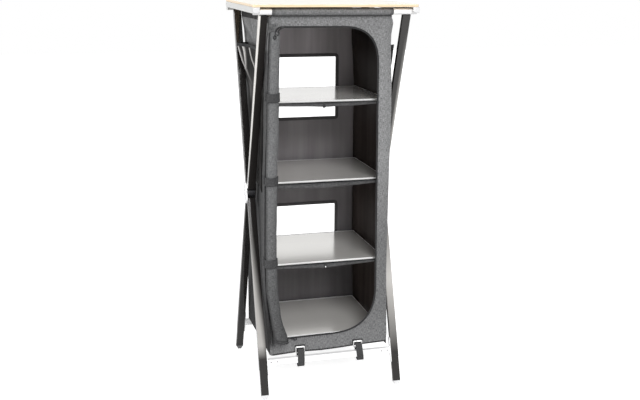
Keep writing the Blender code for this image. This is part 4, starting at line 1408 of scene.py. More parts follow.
@dataclass
class ShelfSling:
    """Cloth that carries a shelf board, with a slack hem hanging below the board's front edge.

    The section gives how far the cloth lies below the sling's top, and how far behind the front cloth,
    from the hem's top down its face and under the board. The drops are the hem's depths at the stations
    along X, for each level from the lowest. The sling's top lies below the board's face.
    """

    level: int
    half: float = 0.2285
    below: float = 0.0066
    uneven: float = 0.0008
    thickness: float = 0.0012
    falls: Row = (
        -0.002, -0.005, -0.009, -0.0125, -0.0145, -0.0145,
        -0.011, -0.006, -0.0025, -0.0008, -0.0008, -0.0008,
    )
    reaches: Row = (
        0.0075, 0.0035, 0.0022, 0.0022, 0.0035, 0.0065, 0.014, 0.028, 0.05, 0.09, 0.22,
    )
    drops: Spots = (
        (0.0050, 0.0080, 0.0090, 0.0070, 0.0040),
        (0.0075, 0.0120, 0.0170, 0.0110, 0.0040),
        (0.0125, 0.0165, 0.0180, 0.0145, 0.0040),
        (0.0070, 0.0100, 0.0135, 0.0110, 0.0040),
    )

    def build(self) -> list[Piece]:
        """Carries the section along X, back to the rear wall; the hem droops as an arch."""
        top = SHELF_HEIGHTS[self.level - 1] - self.below
        deep = float(half_depth(top))
        steps, full = 46, 0.0145
        fall, reach = led_through(list(zip(self.falls, (*self.reaches, 2 * deep - 0.004))), steps).T
        x, i = np.meshgrid(np.linspace(-self.half, self.half, 60), np.arange(steps), indexing="xy")
        stations = (-self.half, -0.10, -0.02, 0.08, self.half)
        hang = np.interp(x, stations, self.drops[self.level - 1]) / full
        loose = smooth(-fall[i], 0.0005, 0.012)
        uneven = self.uneven * ripples(x, reach[i], 40 + self.level, 5, 0.2, 0.08)
        under = np.where(fall[i] > -0.0021, 1.0, hang)
        z = top + fall[i] * np.clip(under, 0, 1.4) - loose * uneven
        y = -deep + 0.0035 + reach[i] + loose * uneven
        flat = np.stack([x, reach[i] - 0.03 * (i < 12)], axis=-1)
        points = np.stack([x, y, z], axis=-1)
        cloud = ripples(x, 0 * x, 50 + self.level, 5, 0.16, 0.05)
        # painted light: the hem is lighter towards the left, with a random mottle
        tone = 0.30 + 0.5 * smooth(-x, -0.25, 0.25) + 0.25 * cloud
        name = f"shelf_cloth_{self.level}"
        cloth = surface(name, points, [SLING_CLOTH], uv=flat, tone=np.clip(tone, 0, 1))
        thicken(cloth, self.thickness, offset=0.0)
        hung(cloth, Slot.HEATHER, f"shelf_sling_{self.level}")
        return [cloth, *self.snap(top, deep)]

    def snap(self, top: float, deep: float) -> list[Piece]:
        """The folded tab in the middle of two of the hems, with a press stud on the second shelf's.

        Args:
            top: height of the sling's top.
            deep: half depth of the cabinet there.

        Returns:
            The pieces.
        """
        x = {2: -0.018, 4: -0.035}.get(self.level)
        if x is None:
            return []
        stops = ((0.0052, 0.0035), (0.0042, 0.0095), (0.0050, 0.0165))
        path = np.array([(x, -deep + back, top - down) for back, down in stops])
        tab = sweep(f"sling_tab_{self.level}", path, rounded_profile(0.0105, 0.0018, 0.0007), BINDING)
        made = [hung(tab, Slot.WEBBING)]
        if self.level == 2:
            head = dome_points((x, -deep + 0.0032, top - 0.0125), FORWARDS, 0.0025, 0.0012)
            made.append(hung(closed_body("sling_stud", head, STEEL, 60.0), Slot.STEEL))
        return made


@dataclass
class ShelfRim:
    """Pale edge trim round a shelf board: a rounded band that stands a little above the board's faces."""

    level: int
    width: float = 0.0034
    proud: float = 0.0005
    corner: float = 0.006

    def build(self) -> list[Piece]:
        """Carries the band's section round the board's outline."""
        low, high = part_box(f"shelf_board_{self.level}")
        inset = self.width / 2 - 0.0002
        spans = ((low[k] + inset, high[k] - inset) for k in (0, 1))
        loop = square_loop(*spans, self.corner, (30, 30, 30, 30), 8)
        path = np.column_stack([loop, np.full(len(loop), (low[2] + high[2]) / 2)])
        section = rounded_profile(self.width, high[2] - low[2] + 2 * self.proud, 0.0012)
        rim = sweep(f"shelf_rim_{self.level}", path, section, RIM, UPWARDS, closed=True)
        return [fixed(rim, f"board_{self.level}")]


@dataclass
class RolledDoor:
    """The door cloth rolled up beside the opening, its ties, and the zip round its foot.

    The roll's middle line and radius are given at a row of heights, and the tail is the path of a tie's
    sewn end, right of the cabinet's corner and behind the front cloth. The waist is how far a tie draws
    the roll in, crush the height of its dents, press how flat it lies behind, and slant its foot's slope.
    """

    low: float = 0.2225
    high: float = 1.4035
    radius: float = 0.0215
    lip: float = 0.0016
    step_at: float = -0.55
    ties: Row = (0.5443, 0.8613, 1.1703)
    tie_half: float = 0.0160
    pipe_ends: Pair = (0.255, 1.40)
    waist: float = 0.0012
    crush: float = 0.0009
    press: float = 0.10
    slant: float = 0.17
    tail: Spots = (
        (0.020, -0.0030), (0.006, -0.0042), (-0.0018, -0.0030), (-0.0044, 0.0025), (-0.0040, 0.016),
    )
    heights: Row = (
        0.2225, 0.253, 0.291, 0.333, 0.398, 0.439, 0.56, 0.66,
        0.714, 0.923, 1.016, 1.126, 1.22, 1.305, 1.40,
    )
    middles: Row = (
        -0.2015, -0.2048, -0.2151, -0.2232, -0.2318, -0.2372, -0.2405, -0.2412,
        -0.2404, -0.2400, -0.2372, -0.2358, -0.2340, -0.2315, -0.2300,
    )
    radii: Row = (
        0.0272, 0.0266, 0.0222, 0.0205, 0.0218, 0.0222, 0.0212, 0.0204,
        0.0209, 0.0210, 0.0215, 0.0212, 0.0200, 0.0184, 0.0178,
    )

    def axis(self, z: Array) -> tuple[Array, Array]:
        """X and Y of the roll's middle line at heights z: it sweeps right towards its foot."""
        x = np.interp(z, self.heights, self.middles)
        return x, -half_depth(z) - np.interp(z, self.heights, self.radii) - 0.0040

    def skin(self, turn: Array, z: Array, out: float = 0.0) -> Array:
        """The roll's skin: a spiral about the middle line, waisted at each tie and cut askew at the foot.

        Args:
            turn: angle about the roll, 0 at the right and minus a quarter turn at the front.
            z: height.
            out: distance outside the skin.

        Returns:
            The places.
        """
        x, y = self.axis(z)
        spiral = self.lip * np.mod((self.step_at - turn) / (2 * math.pi), 1.0)
        waist = sum(self.waist * bump(z, tie, 0.03) for tie in self.ties)
        crush = self.crush * ripples(turn * 0.05, z, 71, 8, 0.18, 0.03)
        radius = np.interp(z, self.heights, self.radii) - 0.0008 + spiral - waist + crush + out
        flat = 1.0 - self.press * np.maximum(0, np.sin(turn)) ** 2
        tilt = -self.slant * radius * np.cos(turn) * (1 - smooth(z, 0.25, 0.31))
        return np.stack([x + radius * np.cos(turn), y + radius * np.sin(turn) * flat, z + tilt], axis=-1)

    def build(self) -> list[Piece]:
        """Makes the roll, closed at both ends, its ties, the zip round its foot and the piping."""
        start, full = self.step_at, 2 * math.pi
        bends = np.concatenate([np.linspace(0, 0.03, 4)[:-1], np.linspace(0.03, full, 64)]) + start
        z, turn = np.meshgrid(np.linspace(self.low, self.high, 240), bends, indexing="ij")
        points = self.skin(turn, z)
        points[:, -1] = points[:, 0]
        flat = np.stack([(turn - start) * self.radius, z], axis=-1)
        # painted light and shade of the roll: lighter towards the front right, painted shade just before the
        # outer layer's edge, and a random mottle
        face = smooth(np.cos(turn + 1.15), -0.25, 0.55)
        tone = 0.30 + 0.70 * face - 0.35 * bump(turn % full, full - 0.08, 0.30)
        tone = np.clip(tone + 0.14 * ripples(turn * 0.03, z * 0.5, 17, 6, 0.3, 0.02), 0, 1)
        roll = surface("rolled_door", points, [DOOR_CLOTH], uv=flat, weld=True, cap=True, tone=tone)
        made = [hung(roll, Slot.HEATHER, "door_roll")]
        made += [self.tie(number, height) for number, height in enumerate(self.ties, 1)]
        ring, profile = np.linspace(0, full, 60, endpoint=False), rounded_profile(0.0030, 0.0034, 0.001)
        for name, height, out in (("roll_foot_zip", 0.2340, 0.0008), ("roll_foot_hem", 0.2246, 0.0010)):
            path = self.skin(ring, np.full(60, height), out)
            made.append(hung(sweep(name, path, profile, ZIP, UPWARDS, closed=True), Slot.WEBBING))
        pipe = hung(self.piping(), Slot.WEBBING)
        return [*made, *self.tails(), pipe]

    def piping(self) -> Piece:
        """The cord in the seam at the front panel's left edge, where the roll leaves it in sight."""
        z = np.linspace(*self.pipe_ends, 200)
        heights = (0.25, 0.2645, 0.3482, 0.4709, 0.63, 0.85, 0.95, 1.0122, 1.1593, 1.3034, 1.40)
        places = (
            -0.2350, -0.2380, -0.2480, -0.2575, -0.2590, -0.2590, -0.2575, -0.2545, -0.2510, -0.2478, -0.2450,
        )
        x = np.maximum(np.interp(z, heights, places), edge_of(Face.FRONT, Side.LEFT, z) + 0.0006)
        line = np.stack([x, -half_depth(z) - 0.0022, z], axis=1)
        return sweep("left_piping", line, rounded_profile(0.0036, 0.0036, 0.0017), BINDING)

    def tails(self) -> list[Piece]:
        """The ties' sewn ends, which run from behind the roll round the cabinet's corner."""
        made = []
        for number, height in enumerate(self.ties, 1):
            deep = float(half_depth(height))
            corner = min(float(edge_of(Face.FRONT, Side.LEFT, height)), -0.2560)
            path = led_through([(corner + right, -deep + back) for right, back in self.tail], 24)
            path = np.column_stack([path, np.full(24, height)])
            section = rounded_profile(0.0015, 2 * self.tie_half, 0.0006)
            made.append(hung(sweep(f"roll_tie_tail_{number}", path, section, STRAP, UPWARDS), Slot.WEBBING))
        return made

    def tie(self, number: int, height: float) -> Piece:
        """A webbing band round the roll, with rolled edges and a slight slant.

        Args:
            number: number of the tie from the foot.
            height: its middle height.

        Returns:
            The band.
        """
        turn, share = np.meshgrid(np.linspace(0, 2 * math.pi, 65), np.linspace(-1, 1, 11), indexing="xy")
        z = height + share * self.tie_half + 0.0012 * np.cos(turn)
        out = 0.0022 + 0.0006 * np.cos(share * math.pi / 2)
        points = self.skin(turn, z)
        centre_x, centre_y = self.axis(z)
        radial = unit(np.stack([points[..., 0] - centre_x, points[..., 1] - centre_y, 0 * z], axis=-1))
        points = points + radial * out[..., None]
        points[:, -1] = points[:, 0]
        flat = np.stack([turn * self.radius, z], axis=-1)
        band = surface(f"roll_tie_band_{number}", points, [STRAP], uv=flat, flip=True, weld=True)
        thicken(band, 0.0016)
        return hung(band, Slot.WEBBING, f"roll_tie_{number}")


@dataclass
class Sleeve:
    """Cloth sleeve round an upper cross bar, with a flap that hangs behind the cabinet's top edge.

    The span is where the cloth starts and ends round the bar, in degrees from the outside.
    """

    face: Face
    ends: Pair = (-0.2391, 0.2146)
    span: Pair = (-125, 215)
    bar_y: float = 0.2463
    bar_z: float = 1.4732
    radius: float = 0.0128
    flap: float = 0.043
    flap_inset: float = 0.0105
    flap_steps: int = 14

    def section(self) -> Array:
        """Y and Z of the cross section about the bar: up the flap, then nearly once round the bar."""
        turn = np.linspace(*(math.radians(angle) for angle in self.span), 44)
        ring = np.stack([np.cos(turn), np.sin(turn)], axis=1) * self.radius
        down = np.linspace(1, 0, self.flap_steps, endpoint=False)[:, None]
        foot = np.array([-self.flap_inset, -self.radius - self.flap])
        return np.concatenate([ring[:1] + (foot - ring[:1]) * down, ring])

    def tone(self, x: Array, z: Array) -> Array:
        """Lightness at x, z above the bar's middle: painted shade, darkest in the groove and dull below it,
        and darker at the ends.
        """
        # painted shade along the groove under the bar
        groove = -self.radius * 1.1
        fold = 1 - bump(z, -self.radius * 1.12, self.radius * 0.26)
        fold = fold * (0.72 - 0.17 * smooth(z, groove, -self.radius * 0.5))
        ends = smooth(np.abs(x - sum(self.ends) / 2), 0.2135, 0.2165)
        return 0.1 + 0.9 * (fold * (1 - 0.75 * ends * (z > groove)))

    def build(self) -> list[Piece]:
        """Carries the cross section along X, with fine wrinkles round the bar."""
        sign, word, section = self.face.value, self.face.word, self.section()
        x, i = np.meshgrid(np.linspace(*self.ends, 120), np.arange(len(section)), indexing="xy")
        y, z = section[i, 0], section[i, 1]
        wrinkle = 0.0005 * ripples(x, z, 90 + sign, 7, 0.09, 0.02)
        wrinkle = wrinkle + 0.0004 * np.abs(np.sin(x * 46 + z * 30))
        scale = 1 + np.where(i >= self.flap_steps, wrinkle / self.radius, 0)
        points = np.stack([x, sign * (self.bar_y + y * scale), self.bar_z + z * scale], axis=-1)
        steps = np.concatenate([[0], np.cumsum(np.linalg.norm(np.diff(section, axis=0), axis=1))])
        flat, flip = np.stack([x, steps[i]], axis=-1), self.face is Face.REAR
        name = f"{word}_sleeve_cloth"
        cloth = surface(name, points, [SLEEVE_CLOTH], uv=flat, flip=flip, tone=self.tone(x, z))
        thicken(cloth, 0.0008)
        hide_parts(f"{word}_sleeve")
        fixed(cloth, f"{word}_top_frame")
        return [cloth]


@dataclass
class SidePocket:
    """Slack pocket on a side cloth: it stands out between the legs, under an elastic band.

    Each fold is a line of places (z, y), with rising z, and the half width of its ridge. The sizes from
    belly to room are how far each shape stands out, and room is the most beside a leg.
    """

    side: Side
    low: float = 0.800
    high: float = 1.3354
    half: float = 0.168
    belly: float = 0.014
    left_slack: float = 0.038
    right_slack: float = 0.0075
    ridge: float = 0.0030
    wrinkle: float = 0.0010
    room: float = 0.0145
    lines: tuple[tuple[Spots, float], ...] = (
        ((
            (1.185, 0.0125), (1.1985, 0.0465), (1.214, 0.080), (1.239, 0.106), (1.262, 0.122),
            (1.30, 0.130), (1.334, 0.137),
        ), 0.0062),
        ((
            (1.235, 0.102), (1.255, 0.098), (1.279, 0.0957), (1.302, 0.0954), (1.317, 0.0984), (1.334, 0.103),
        ), 0.0060),
        ((
            (1.250, -0.062), (1.258, -0.044), (1.2765, 0.0), (1.293, 0.0246), (1.314, 0.0437), (1.337, 0.056),
        ), 0.0050),
    )

    def stand_out(self, y: Array, z: Array) -> Array:
        """Distance from the side plane: a mouth that bulges between the legs, over long folds.

        Args:
            y: depth.
            z: height.

        Returns:
            The distances.
        """
        left = self.side is Side.LEFT
        share = np.clip((z - self.low) / (self.high - self.low), 0, 1)
        near = np.maximum(0.02, (z - PIVOT_HEIGHT) * 0.3327 - 0.020)
        free = np.clip(1 - (np.abs(y) / near) ** (3 if left else 7), 0, None) ** 0.8
        belly = self.belly * smooth(share, 0.0, 1.0) ** 0.9 * free
        if left:
            mouth = np.clip((z - 1.165) / 0.17, 0, 1) ** 0.85
            slack = self.left_slack * mouth * bump(y, 0.142, 0.05)
        else:
            slack = self.right_slack * smooth(z, 1.18, 1.30) * bump(y, -0.135, 0.03)
        wrinkles = self.wrinkle * ripples(y, z * 0.4, 61, 6, 0.08, 0.03) * smooth(share, 0.1, 0.4)
        folds = self.ridge * self.folds(y, z) + wrinkles
        room = self.room + 0.05 * smooth(near - np.abs(y), 0.0, 0.016)
        rim = smooth(1 - np.abs(y) / self.half, 0, 0.06) * smooth(share, 0, 0.03)
        return 0.0022 + rim * np.minimum(0.0028 + belly + slack + folds, room)

    def folds(self, y: Array, z: Array) -> Array:
        """Heights, 0 to 1, of the long ridges that run from the slack mouth down and forwards."""
        return sum(crease(y, z, line, width) for line, width in self.lines)

    def tone(self, y: Array, z: Array) -> Array:
        """Painted light on the pocket's dark cloth: painted highlights along its ridges, a little painted
        light near its foot, and a faint random mottle.
        """
        shown = 1 if self.side is Side.LEFT else 0.35
        # painted highlights along the ridges, weaker low down and on the right pocket
        lit = np.clip(self.folds(y, z), 0, 1) * (0.08 + 0.92 * smooth(z, 1.18, 1.31)) * shown
        belly = bump(y, 0.075, 0.06) * bump(z, 1.160, 0.035)
        cloud = ripples(y, z * 0.3, 33, 6, 0.06, 0.02)
        return np.clip(0.01 + 0.95 * lit + 0.13 * belly + 0.03 * cloud, 0, 1)

    def grid(self, low: float, high: float, rows: int, out: float) -> tuple[Array, Array]:
        """Places and flat coordinates of the pocket between two heights, at a distance outside its cloth."""
        spans = (np.linspace(low, high, rows), np.linspace(-self.half, self.half, 150))
        z, y = np.meshgrid(*spans, indexing="ij")
        wall = np.maximum(0, SideWall(self.side).belly(y, z))
        x = self.side.value * (HALF_WIDTH + wall + self.stand_out(y, z) + out)
        lift = 0.010 * (self.side is Side.RIGHT) * bump(y, -0.160, 0.05) * smooth(z, 1.25, self.high)
        return np.stack([x, y, z + lift], axis=-1), np.stack([y, z], axis=-1)

    def build(self) -> list[Piece]:
        """Makes the pocket's cloth and the band at its mouth."""
        word, flip = self.side.word, self.side is Side.LEFT
        points, flat = self.grid(self.low, self.high - 0.004, 130, 0.0)
        tone = self.tone(flat[..., 0], flat[..., 1])
        cloth = surface(f"{word}_pocket_cloth", points, [POCKET_CLOTH], uv=flat, flip=flip, tone=tone)
        thicken(cloth, 0.0010)
        hung(cloth, Slot.HEATHER, f"{word}_pocket")
        points, flat = self.grid(self.high - 0.012, self.high, 8, 0.0010)
        band = surface(f"{word}_pocket_band", points, [BINDING], uv=flat, flip=flip)
        thicken(band, 0.0024)
        hung(band, Slot.WEBBING)
        return [cloth, band]


@dataclass
class HemStrap:
    """Webbing loop round a lower cross bar, its ladder buckle and the sewn patch behind the buckle."""

    face: Face
    side: Side
    lean: float
    spacing: float = 0.118
    width: float = 0.027
    buckle_z: float = 0.1718
    buckle_half: float = 0.0168
    buckle_high: float = 0.0120
    patch_width: float = 0.042

    @property
    def label(self) -> str:
        """Start of the pieces' names."""
        return f"{self.face.word}_{self.side.word}"

    @property
    def x(self) -> float:
        """The strap's middle."""
        return self.side.value * self.spacing

    def build(self) -> list[Piece]:
        """The webbing's path runs down behind the bar, round its underside and up to the buckle."""
        sign, label = float(self.face.value), self.label
        bar, front = LOW_BAR_Y, LOW_BAR_Y + 0.0112
        stops = (
            (bar - 0.0125, 0.1560), (bar - 0.0114, 0.143), (bar - 0.0112, 0.126),
            (bar - 0.008, 0.1145), (bar + 0.001, 0.1095), (front - 0.003, 0.1088),
            (front + 0.0004, 0.1155), (front + 0.0008, 0.135), (front, 0.155),
            (front - 0.0022, 0.1655), (front - 0.0042, 0.1735), (front - 0.0066, 0.1802),
        )
        run = led_through(stops, 60, np.array([1, 2, 3, 2, 1]) / 9.0)
        tangent = unit(np.gradient(run, axis=0))
        away = np.stack([-tangent[:, 1], tangent[:, 0]], axis=1)
        profile = rounded_profile(self.width, 0.0017, 0.0006)
        y, z = (run[:, k, None] + away[:, k, None] * profile[None, :, 1] for k in (0, 1))
        x = self.x + profile[:, 0] + self.lean * (self.buckle_z - z)
        points = np.stack([x, sign * y, z], axis=-1)
        strap = closed_body(f"{label}_webbing", points, STRAP, 60.0)
        hung(strap, Slot.WEBBING, f"{self.face.word}_strap_{self.side.word}")
        buckle = hung(self.buckle(), Slot.STEEL, f"{self.face.word}_buckle_{self.side.word}")
        patch_z = self.buckle_z + np.array([-0.006, 0.004, 0.018])
        path = np.stack([np.full(3, self.x), sign * (half_depth(patch_z) + 0.0026), patch_z], axis=1)
        profile = rounded_profile(self.patch_width, 0.0022, 0.0008)
        patch = sweep(f"{label}_patch", path, profile, BINDING, -sign * FORWARDS)
        return [strap, buckle, hung(patch, Slot.WEBBING)]

    def buckle(self) -> Piece:
        """A wire ladder buckle: a rounded frame and an upper bar, each a wire carried along its line."""
        sign, x, z = float(self.face.value), self.x, self.buckle_z
        y = sign * (float(half_depth(z)) + 0.0060)
        half, high, count = self.buckle_half, self.buckle_high, 8
        flat = square_loop((-half, half), (-high, high), 0.0030, (8, 4, 8, 4), 6)
        ring = np.stack([x + flat[:, 0], np.full(len(flat), y), z + flat[:, 1]], axis=1)
        across = np.linspace(x - half, x + half, count)
        bar = np.stack([across, np.full(count, y + sign * 0.0004), np.full(count, z + 0.0096)], axis=1)
        wire, normal = rounded_profile(0.0042, 0.0032, 0.0015), -sign * FORWARDS
        parts = [
            sweep(f"{self.label}_frame", ring, wire, STEEL, normal, closed=True),
            sweep(f"{self.label}_bar", bar, wire, STEEL, normal),
        ]
        return joined(f"{self.label}_buckle", parts)


@dataclass
class ZipSlider:
    """Black zip slider on its tape, with cord pulls that end in a loop."""

    node: str
    body: str
    x: float
    z: float
    pulls: tuple[Spots, ...]
    half_length: float = 0.0058
    width: float = 0.0085
    thickness: float = 0.0036

    def build(self) -> list[Piece]:
        """Makes the body, which is a waisted block, and its pulls."""
        y = -float(half_depth(self.z)) - 0.0040
        share = np.linspace(-1, 1, 12)
        profile = rounded_profile(1.0, 1.0, 0.25)
        waist = 1 - 0.22 * np.cos(share * math.pi / 2)
        width = (self.width * waist * np.sqrt(np.clip(1.06 - share**4, 0.05, 1)))[:, None]
        thick = (self.thickness * np.sqrt(np.clip(1.05 - share**6, 0.05, 1)))[:, None]
        across = (self.x + share * self.half_length)[:, None] + 0 * profile[None, :, 0]
        points = [across, y + profile[None, :, 1] * thick, self.z + profile[None, :, 0] * width]
        slider = closed_body(f"{self.body}_shell", np.stack(points, axis=-1), BLACK_METAL, 50.0)
        pieces = [hung(slider, Slot.STEEL, self.node, body=self.body)]
        for number, pull in enumerate(self.pulls, 1):
            pieces += self.pull(f"{self.body}_pull_{number}", pull)
        return pieces

    def pull(self, label: str, spots: Spots) -> list[Piece]:
        """One pull: a cord along a smooth curve through the points, a steel crimp and a loop.

        Args:
            label: start of the pieces' names.
            spots: points from the slider to the crimp, N by 3.

        Returns:
            The cord, the loop and the crimp.
        """
        path = led_through(spots, 40, np.ones(9) / 9.0)
        drop = path[-1] - path[-6]
        drop /= np.linalg.norm(drop)
        side = np.cross(drop, -FORWARDS)
        turn = np.linspace(0, 2 * math.pi, 32, endpoint=False)
        down, out = 0.0058 - 0.0062 * np.cos(turn), 0.0050 * np.sin(turn)
        ring = path[-1] + drop * down[:, None] + side * out[:, None]
        tip = path[-1] + drop * np.linspace(0.0022, 0.0092, 8)[:, None]
        cord, loop, crimp = (rounded_profile(*size) for size in (
            (0.0042, 0.0028, 0.0013), (0.0032, 0.0028, 0.0013), (0.0020, 0.0018, 0.0008),
        ))
        made = (
            (sweep(f"{label}_cord", path, cord, BINDING), Slot.WEBBING),
            (sweep(f"{label}_cord_loop", ring, loop, BINDING, closed=True), Slot.WEBBING),
            (sweep(f"{label}_crimp", tip, crimp, BLACK_METAL), Slot.STEEL),
        )
        return [hung(piece, slot, body=self.body) for piece, slot in made]


# The frame


@dataclass
class Fastener:
    """A rivet or screw head: a low dome."""

    radius: float
    height: float

    def build(self, name: str, centre: Row, axis: Row, body: str, look: Finish) -> Piece:
        """Makes one head that stands out from its centre along the axis and rides on the body."""
        points = dome_points(centre, axis, self.radius, self.height)
        return fixed(closed_body(name, points, look, 60.0), body)


@dataclass
class LegFrames:
    """The crossed legs, their bars, joint plates and feet, whose solids only get their finishes."""

    leg_outer: float = 0.2845
    leg_inner: float = 0.2535
    offset: float = 0.0095
    bar_radius: float = 0.0100
    insets: Pair = (0.016, 0.040)
    rivet_reach: float = 0.545
    screw_reach: float = 0.718

    def finish_of(self, name: str) -> Optional[Finish]:
        """A hard node's finish by the start, the end or a part of its name, or None for a soft one."""
        left = name.endswith("left")
        starts = (
            ("rear_foot", SHADED_FOOT_PLASTIC), ("front_upper_leg", HIGHLIT_UPPER_LEFT if left else HIGHLIT_UPPER_RIGHT),
            ("front_lower_leg", LOW_LEFT if left else LOW_RIGHT),
        )
        parts = (
            ("foot", PALE_PLASTIC), ("leg", BLACK_TUBE), ("inner_joint_plate", BLACK_PLATE),
            ("outer_joint_plate", PLATE), ("pivot_pin", STEEL), ("pivot_drum", DRUM), ("_bar", SILVER_TUBE),
            ("table_rail", RAIL), ("table_board", TOP_BOARD), ("shelf_board", SHELF),
        )
        found = [look for key, look in starts if name.startswith(key)]
        found += [look for key, look in parts if key in name]
        return found[0] if found else None

    def dress(self) -> int:
        """Gives every hard node its finish.

        Returns:
            How many nodes were dressed.
        """
        count = 0
        for name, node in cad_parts.items():
            look = self.finish_of(name)
            if look is None:
                continue
            for index in range(len(node.data.materials)):
                node.data.materials[index] = look.material()
            count += 1
        return count

    def on_leg(self, sign: int, up: int, reach: float) -> Pair:
        """Y and Z on the middle line of an upper (up 1) or lower (-1) half leg, at a reach from the pivot."""
        y = -up * self.offset * math.cos(LEG_LEAN) + reach * math.sin(LEG_LEAN)
        z = PIVOT_HEIGHT - up * self.offset * math.sin(LEG_LEAN) + up * reach * math.cos(LEG_LEAN)
        return sign * y, z

    def build(self) -> list[Piece]:
        """Adds the small parts that the solids leave out: the rivets and screws of both faces."""
        made = []
        rivet, screw = Fastener(0.0033, 0.0012), Fastener(0.0030, 0.0009)
        for face, low, top in ((Face.FRONT, REAR_BODY, FRONT_BODY), (Face.REAR, FRONT_BODY, REAR_BODY)):
            sign = face.value
            level, rise = math.cos(LEG_LEAN), math.sin(LEG_LEAN)
            bar_y, bar_z = sign * (LOW_BAR_Y + self.bar_radius * level), LOW_BAR_Z + self.bar_radius * rise
            for side in Side:
                label, s = f"{face.word}_{side.word}", side.value
                for number, inset in enumerate(self.insets, 1):
                    spot = (s * (self.leg_inner - inset), bar_y, bar_z)
                    out, name = (0, sign * level, rise), f"{label}_bar_rivet_{number}"
                    made.append(rivet.build(name, spot, out, low, RIVET))
                for name, up, reach, body, look in (
                    ("leg_rivet", -1, self.rivet_reach, low, RIVET),
                    ("top_screw", 1, self.screw_reach, top, STEEL),
                ):
                    spot = (s * self.leg_outer, *self.on_leg(sign, up, reach))
                    made.append(screw.build(f"{label}_{name}", spot, (s, 0, 0), body, look))
        return made


@dataclass
class RailEnds:
    """Round-nosed end caps of the side rails."""

    x: float = 0.29775
    z: float = 1.4791
    front: float = -0.2700
    rear: float = 0.2624
    nose: float = 0.0042
    sunk: float = 0.004
    width: float = 0.0245
    height: float = 0.0212
    corner: float = 0.0075

    def build(self) -> list[Piece]:
        """Each cap is a rounded plug: its outline shrinks as a quarter circle towards the nose."""
        lift = np.linspace(0, math.pi / 2 * 0.96, 7)
        scale = 0.72 + 0.28 * np.cos(lift)
        scale[-1] *= 0.92
        scale = np.concatenate([[0.96], scale])
        depth = np.concatenate([[-self.sunk], self.nose * np.sin(lift)])
        profile = rounded_profile(self.width, self.height, self.corner, 6)
        made = []
        for side in Side:
            for face, start in ((Face.FRONT, self.front), (Face.REAR, self.rear)):
                x = side.value * self.x + profile[None, :, 0] * scale[:, None]
                y = np.broadcast_to(start + face.value * depth[:, None], x.shape)
                points = np.stack([x, y, self.z + profile[None, :, 1] * scale[:, None]], axis=-1)
                cap = closed_body(f"{face.word}_rail_cap_{side.word}", points, CAP, 50.0)
                made.append(fixed(cap, "table_top"))
        return made


# The studio


@dataclass(frozen=True)
class FloorPaper(Finish):
    """Matt pale paper that the camera sees near white, and that keeps the object's shadow."""

    glow: float = 0.68

    def paint(self, graph: Graph) -> None:
        """One pale colour, and a glow that only the camera sees."""
        graph.feed("Base Color", (0.9, 0.9, 0.9))
        graph.feed("Emission Color", (1.0, 1.0, 1.0))
        seen = graph.node("LightPath").outputs["Is Camera Ray"]
        graph.feed("Emission Strength", graph.times(seen, self.glow))


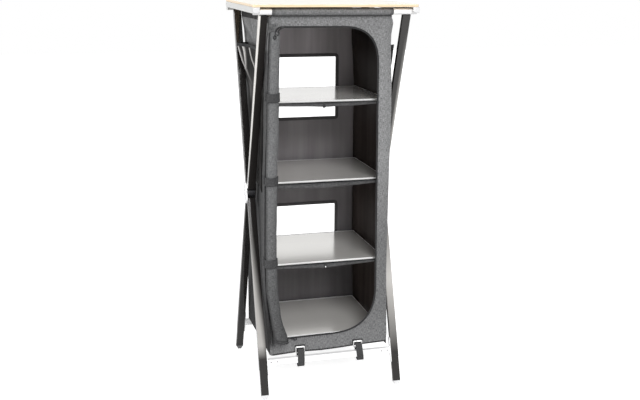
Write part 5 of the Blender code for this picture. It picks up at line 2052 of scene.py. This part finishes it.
@dataclass
class Studio:
    """Plain pale floor, soft light and the photo's camera.

    Angles are in degrees, and focal, width and shift in pixels of the photo.
    """

    eye: tuple[float, float, float] = (-0.988, -3.532, 1.641)
    yaw: float = 15.861
    pitch: float = 13.248
    roll: float = 0.605
    focal: float = 941.128
    width: int = 640
    shift: int = -15
    sensor: int = 36
    fill: float = 0.44
    key: float = 2.15
    key_disc: float = 30.0
    key_height: float = 36.0
    side_lamp: float = 1.25
    key_turn: float = 2.0
    side_turn: float = -82.0
    side_height: float = 16.0
    floor_half: float = 14.0

    def camera(self) -> None:
        """Makes the camera at the photo's viewing angle."""
        data = bpy.data.cameras.new("photo_camera")
        data.sensor_width = self.sensor
        data.lens = self.focal / self.width * self.sensor
        data.shift_y = self.shift / self.width
        made = bpy.data.objects.new("photo_camera", data)
        bpy.context.scene.collection.objects.link(made)
        yaw, pitch, roll = (math.radians(a) for a in (self.yaw, self.pitch, self.roll))
        ahead = Vector((math.sin(yaw) * math.cos(pitch), math.cos(yaw) * math.cos(pitch), -math.sin(pitch)))
        level = Vector((math.cos(yaw), -math.sin(yaw), 0))
        up = level.cross(ahead)
        right = level * math.cos(roll) + up * math.sin(roll)
        top = -level * math.sin(roll) + up * math.cos(roll)
        pose = Matrix((right, top, -ahead)).transposed().to_4x4()
        pose.translation = Vector(self.eye)
        made.matrix_world = pose
        bpy.context.scene.camera = made

    def floor(self) -> None:
        """Lays the floor just below the feet."""
        spread = np.linspace(-self.floor_half, self.floor_half, 9)
        y, x = np.meshgrid(spread, spread, indexing="ij")
        points = np.stack([x, y, np.full_like(x, -0.0004)], axis=-1)
        surface("floor", points, [FloorPaper("floor_paper", roughness=1.0, specular=0.0)])

    def light(self) -> None:
        """A white surround, seen at full strength and filling at a lower one, and two broad soft lamps."""
        world = bpy.data.worlds.new("studio")
        bpy.context.scene.world = world
        world.use_nodes = True
        graph = Graph(world.node_tree)
        ground = world.node_tree.nodes["Background"]
        ground.inputs["Color"].default_value = (1, 1, 1, 1)
        path = graph.node("LightPath").outputs
        seen = graph.math("ADD", path["Is Camera Ray"], path["Is Glossy Ray"])
        seen = graph.math("ADD", seen, path["Is Transmission Ray"], clamp=True)
        graph.put(ground.inputs["Strength"], graph.ramp(seen, 0.0, 1.0, self.fill, 1.0))
        for name, energy, turned, raised in (
            ("key", self.key, self.key_turn, self.key_height),
            ("side_lamp", self.side_lamp, self.side_turn, self.side_height),
        ):
            lamp = bpy.data.lights.new(name, "SUN")
            lamp.energy = energy
            lamp.angle = math.radians(self.key_disc)
            made = bpy.data.objects.new(name, lamp)
            bpy.context.scene.collection.objects.link(made)
            turn, height = math.radians(turned), math.radians(raised)
            level = math.cos(height)
            towards = Vector((math.sin(turn) * level, -math.cos(turn) * level, math.sin(height)))
            made.rotation_euler = towards.to_track_quat("Z", "Y").to_euler()

    def build(self) -> None:
        """Sets the view transform and builds floor, lights and camera."""
        bpy.context.scene.view_settings.view_transform = "Standard"
        self.floor()
        self.light()
        self.camera()


TOP_PULLS = (
    (
        (-0.2000, -0.2420, 1.4185), (-0.2100, -0.2560, 1.4180), (-0.2200, -0.2700, 1.4165),
        (-0.2300, -0.2745, 1.4110), (-0.2318, -0.2750, 1.4000), (-0.2330, -0.2755, 1.3900),
    ),
    (
        (-0.2000, -0.2430, 1.4160), (-0.2100, -0.2580, 1.4130), (-0.2190, -0.2700, 1.4090),
        (-0.2205, -0.2710, 1.4040),
    ),
)
FOOT_PULLS = (((-0.1600, -0.2140, 0.2240), (-0.1540, -0.2180, 0.2238), (-0.1450, -0.2185, 0.2225)),)
STRAP_LEANS = {Side.LEFT: 0.0, Side.RIGHT: 0.12}


def main() -> None:
    """Builds every sub-assembly in order and reports it."""
    Studio().build()
    frames = LegFrames()
    LOG.info("dressed %d hard nodes", frames.dress())
    levels = range(1, len(SHELF_HEIGHTS) + 1)
    top_slider = ZipSlider("top_zip_slider", "top_slider", -0.1985, 1.4175, TOP_PULLS)
    foot_slider = ZipSlider("bottom_zip_slider", "bottom_slider", -0.160, 0.2240, FOOT_PULLS)
    assemblies: list[tuple[str, Callable[[], list[Piece]]]] = [
        ("leg frames", frames.build),
        ("rail ends", RailEnds().build),
        *((f"{face.word} sleeve", Sleeve(face).build) for face in Face),
        ("front panel", FrontPanel().build),
        ("back wall", BackWall().build),
        *((f"{side.word} wall", SideWall(side).build) for side in Side),
        ("roof", Roof().build),
        ("rolled door", RolledDoor().build),
        *((f"{side.word} pocket", SidePocket(side).build) for side in Side),
        ("top slider", top_slider.build),
        ("bottom slider", foot_slider.build),
        *((f"shelf cloth {level}", ShelfSling(level).build) for level in levels),
        *((f"shelf rim {level}", ShelfRim(level).build) for level in levels),
        *((f"{f.word} {s.word} strap", HemStrap(f, s, STRAP_LEANS[s]).build) for f in Face for s in Side),
    ]
    for label, build in assemblies:
        for piece in build():
            LOG.info("%s: %s, %d faces", label, piece.name, len(piece.data.polygons))


if __name__ == "__main__":
    main()
